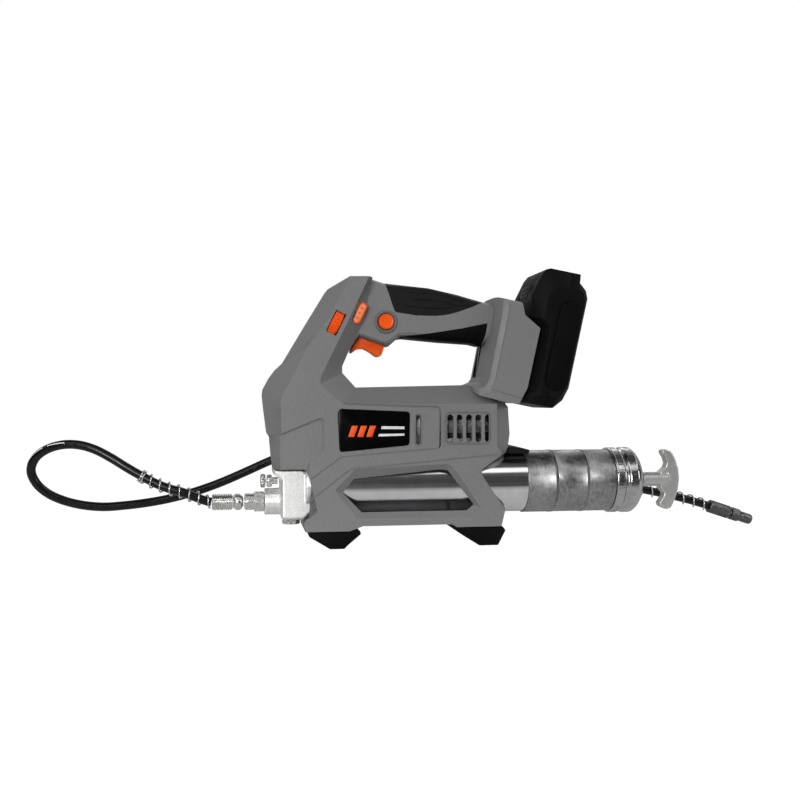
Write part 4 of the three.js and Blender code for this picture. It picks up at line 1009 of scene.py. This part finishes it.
def add_screws():
    """Pan-head screws with a six-lobed socket."""
    for number, (x, z) in SCREWS.items():
        profile = filleted([
            (0, -15), (1, -15), (1.8, -13.8), (1.8, 27.2), (3.1, 27.2), (3.1, 28.4), (2.4, 29.3), (1.5, 29.3),
            (1.5, 28), (0, 27.8)], 0.25)
        screw = lathe(f"screw_{number}", profile, "steel", (x, 0, z), (0, 1, 0), 72,
                      reshape=lambda r, s, t: r * (1 + 0.12 * math.cos(6 * t)) if r < 1.6 and s > 20 else r)
        placed(screw, f"housing_screw_{number}")


# ---------------------------------------------------------------- inner pieces


def coil(name, radius, wire, start, end, turns, look, origin, along, sides=10):
    along = Vector(along).normalized()
    side = along.cross(Vector((0, 1, 0))).normalized()
    other = along.cross(side)
    points = []
    steps = turns * 24
    for i in range(steps + 1):
        share = i / steps
        turn = math.tau * turns * share
        centre = Vector(origin) + along * (start + (end - start) * share)
        points.append(centre + (side * math.cos(turn) + other * math.sin(turn)) * radius)
    return tube(name, points, wire, look, sides)


def add_springs():
    follower = coil(
        "follower_spring_coil", 19.2, 1.1, -126.4, 147.8, 17, "steel", (0, 0, BARREL_Z), (1, 0, 0))
    placed(follower, "follower_spring")
    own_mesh(follower)
    check = coil("check_spring_coil", 2.3, 0.4, -188.9, -180.2, 6, "steel", (0, 0, OUTLET_Z), (1, 0, 0), 8)
    placed(check, "check_spring")
    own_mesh(check)


INNER_LOOKS = {
    "steel": "steel", "zinc_plate": "zinc_plate", "cast_aluminium": "cast_aluminium", "board": "board",
    "black_plastic": "black_plastic", "black_rubber": "black_rubber", "orange_plastic": "orange_plastic",
    "grey_plastic": "grey_plastic", "chrome": "chrome", "galvanised": "galvanised",
    "black_steel": "black_steel",
}


def dress_frame():
    """Gives every carried-over CAD node the look of its slot."""
    for node, obj in frame["nodes"].items():
        look = LOOKS[INNER_LOOKS[NODE_SLOT[node]]]
        for slot in obj.material_slots:
            slot.material = look


# ---------------------------------------------------------------- stage


def add_floor():
    """A white table. Camera rays see it white; the object is lit by it as pale near by and dark in front."""
    half = FLOOR_HALF
    corners = [(-half, -half, 0), (half, -half, 0), (half, half, 0), (-half, half, 0)]
    floor = mesh_object("floor", corners, [[0, 1, 2, 3]], "pale_print")
    n = Nodes("pale_floor")
    place = n.add("ShaderNodeSeparateXYZ")
    n.link(n.place, place.inputs["Vector"])
    reach = n.ranged(place.outputs["Y"], 0, 1, -0.24, -0.11)
    n.finish(n.ramp(reach, [(0.0, (0.03, 0.03, 0.03)), (1.0, (0.9, 0.9, 0.9))]), 0.9)
    white = n.add("ShaderNodeEmission")
    n.link(n.ramp(n.noise(400, 2), [(0.3, (0.99, 0.99, 0.99)), (0.7, (1, 1, 1))]), white.inputs["Color"])
    seen = n.add("ShaderNodeLightPath")
    share = n.ranged(seen.outputs["Is Camera Ray"], 0, FLOOR_WHITE, 0, 1)
    mix = n.add("ShaderNodeMixShader")
    white.inputs["Strength"].default_value = 1.07
    n.link(share, mix.inputs["Fac"])
    n.link(n.shader.outputs["BSDF"], mix.inputs[1])
    n.link(white.outputs["Emission"], mix.inputs[2])
    n.link(mix.outputs["Shader"], n.tree.nodes["Material Output"].inputs["Surface"])
    floor.data.materials[0] = n.material


def add_light(name, place, target, size, power):
    data = bpy.data.lights.new(name, "AREA")
    data.shape = "RECTANGLE"
    data.size, data.size_y = size
    data.energy = power
    lamp = bpy.data.objects.new(name, data)
    lamp.location = place
    lamp.rotation_euler = (Vector(target) - Vector(place)).to_track_quat("-Z", "Y").to_euler()
    bpy.context.scene.collection.objects.link(lamp)


def add_world():
    """Studio surroundings: a bright wall behind, a dark ceiling, and a soft strip in front and above."""
    world = bpy.data.worlds.new("studio")
    bpy.context.scene.world = world
    world.use_nodes = True
    tree = world.node_tree
    add, link = tree.nodes.new, tree.links.new
    background = tree.nodes["Background"]
    place = add("ShaderNodeTexCoord")
    split = add("ShaderNodeSeparateXYZ")
    link(place.outputs["Generated"], split.inputs["Vector"])
    front = add("ShaderNodeValToRGB")
    stops = [
        (0.0, 0.1), (0.45, 0.05), (0.62, 0.05), (0.77, 0.07), (0.825, 1.7), (0.86, 1.7), (0.90, 0.06),
        (1.0, 0.06)]
    while len(front.color_ramp.elements) < len(stops):
        front.color_ramp.elements.new(0.5)
    for element, (spot, value) in zip(front.color_ramp.elements, stops):
        element.position, element.color = spot, (value, value, value, 1)
    height = add("ShaderNodeMapRange")
    height.inputs["From Min"].default_value, height.inputs["From Max"].default_value = -1, 1
    link(split.outputs["Z"], height.inputs["Value"])
    link(height.outputs["Result"], front.inputs["Fac"])
    behind = add("ShaderNodeMapRange")
    behind.inputs["From Min"].default_value, behind.inputs["From Max"].default_value = 0.1, 0.6
    link(split.outputs["Y"], behind.inputs["Value"])
    mix = add("ShaderNodeMix")
    mix.data_type = "RGBA"
    link(behind.outputs["Result"], mix.inputs[0])
    link(front.outputs["Color"], mix.inputs[6])
    mix.inputs[7].default_value = (0.42, 0.42, 0.42, 1)
    seen = add("ShaderNodeMix")
    seen.data_type = "RGBA"
    rays = add("ShaderNodeLightPath")
    link(rays.outputs["Is Camera Ray"], seen.inputs[0])
    link(mix.outputs[2], seen.inputs[6])
    seen.inputs[7].default_value = (1, 1, 1, 1)
    link(seen.outputs[2], background.inputs["Color"])
    background.inputs["Strength"].default_value = 1


def add_stage():
    add_floor()
    add_world()
    middle = (-0.05, 0, 0.12)
    add_light("key", (-0.95, -2.1, 0.45), middle, (0.8, 0.8), 31)
    add_light("top", (-0.8, -1.3, 1.6), middle, (0.9, 0.5), 2)
    add_light("fill", (1.5, -0.9, 0.5), middle, (0.6, 0.5), 6)
    add_light("back", (0.4, 1.8, 1.6), middle, (1.4, 0.6), 5)
    bpy.context.scene.view_settings.view_transform = "Standard"


add_camera()
add_cord()
add_housing()
add_badge()
add_grips()
add_feet()
add_controls()
add_pump_head()
add_barrel()
add_battery()
add_clip()
add_screws()
add_springs()
dress_frame()
add_stage()
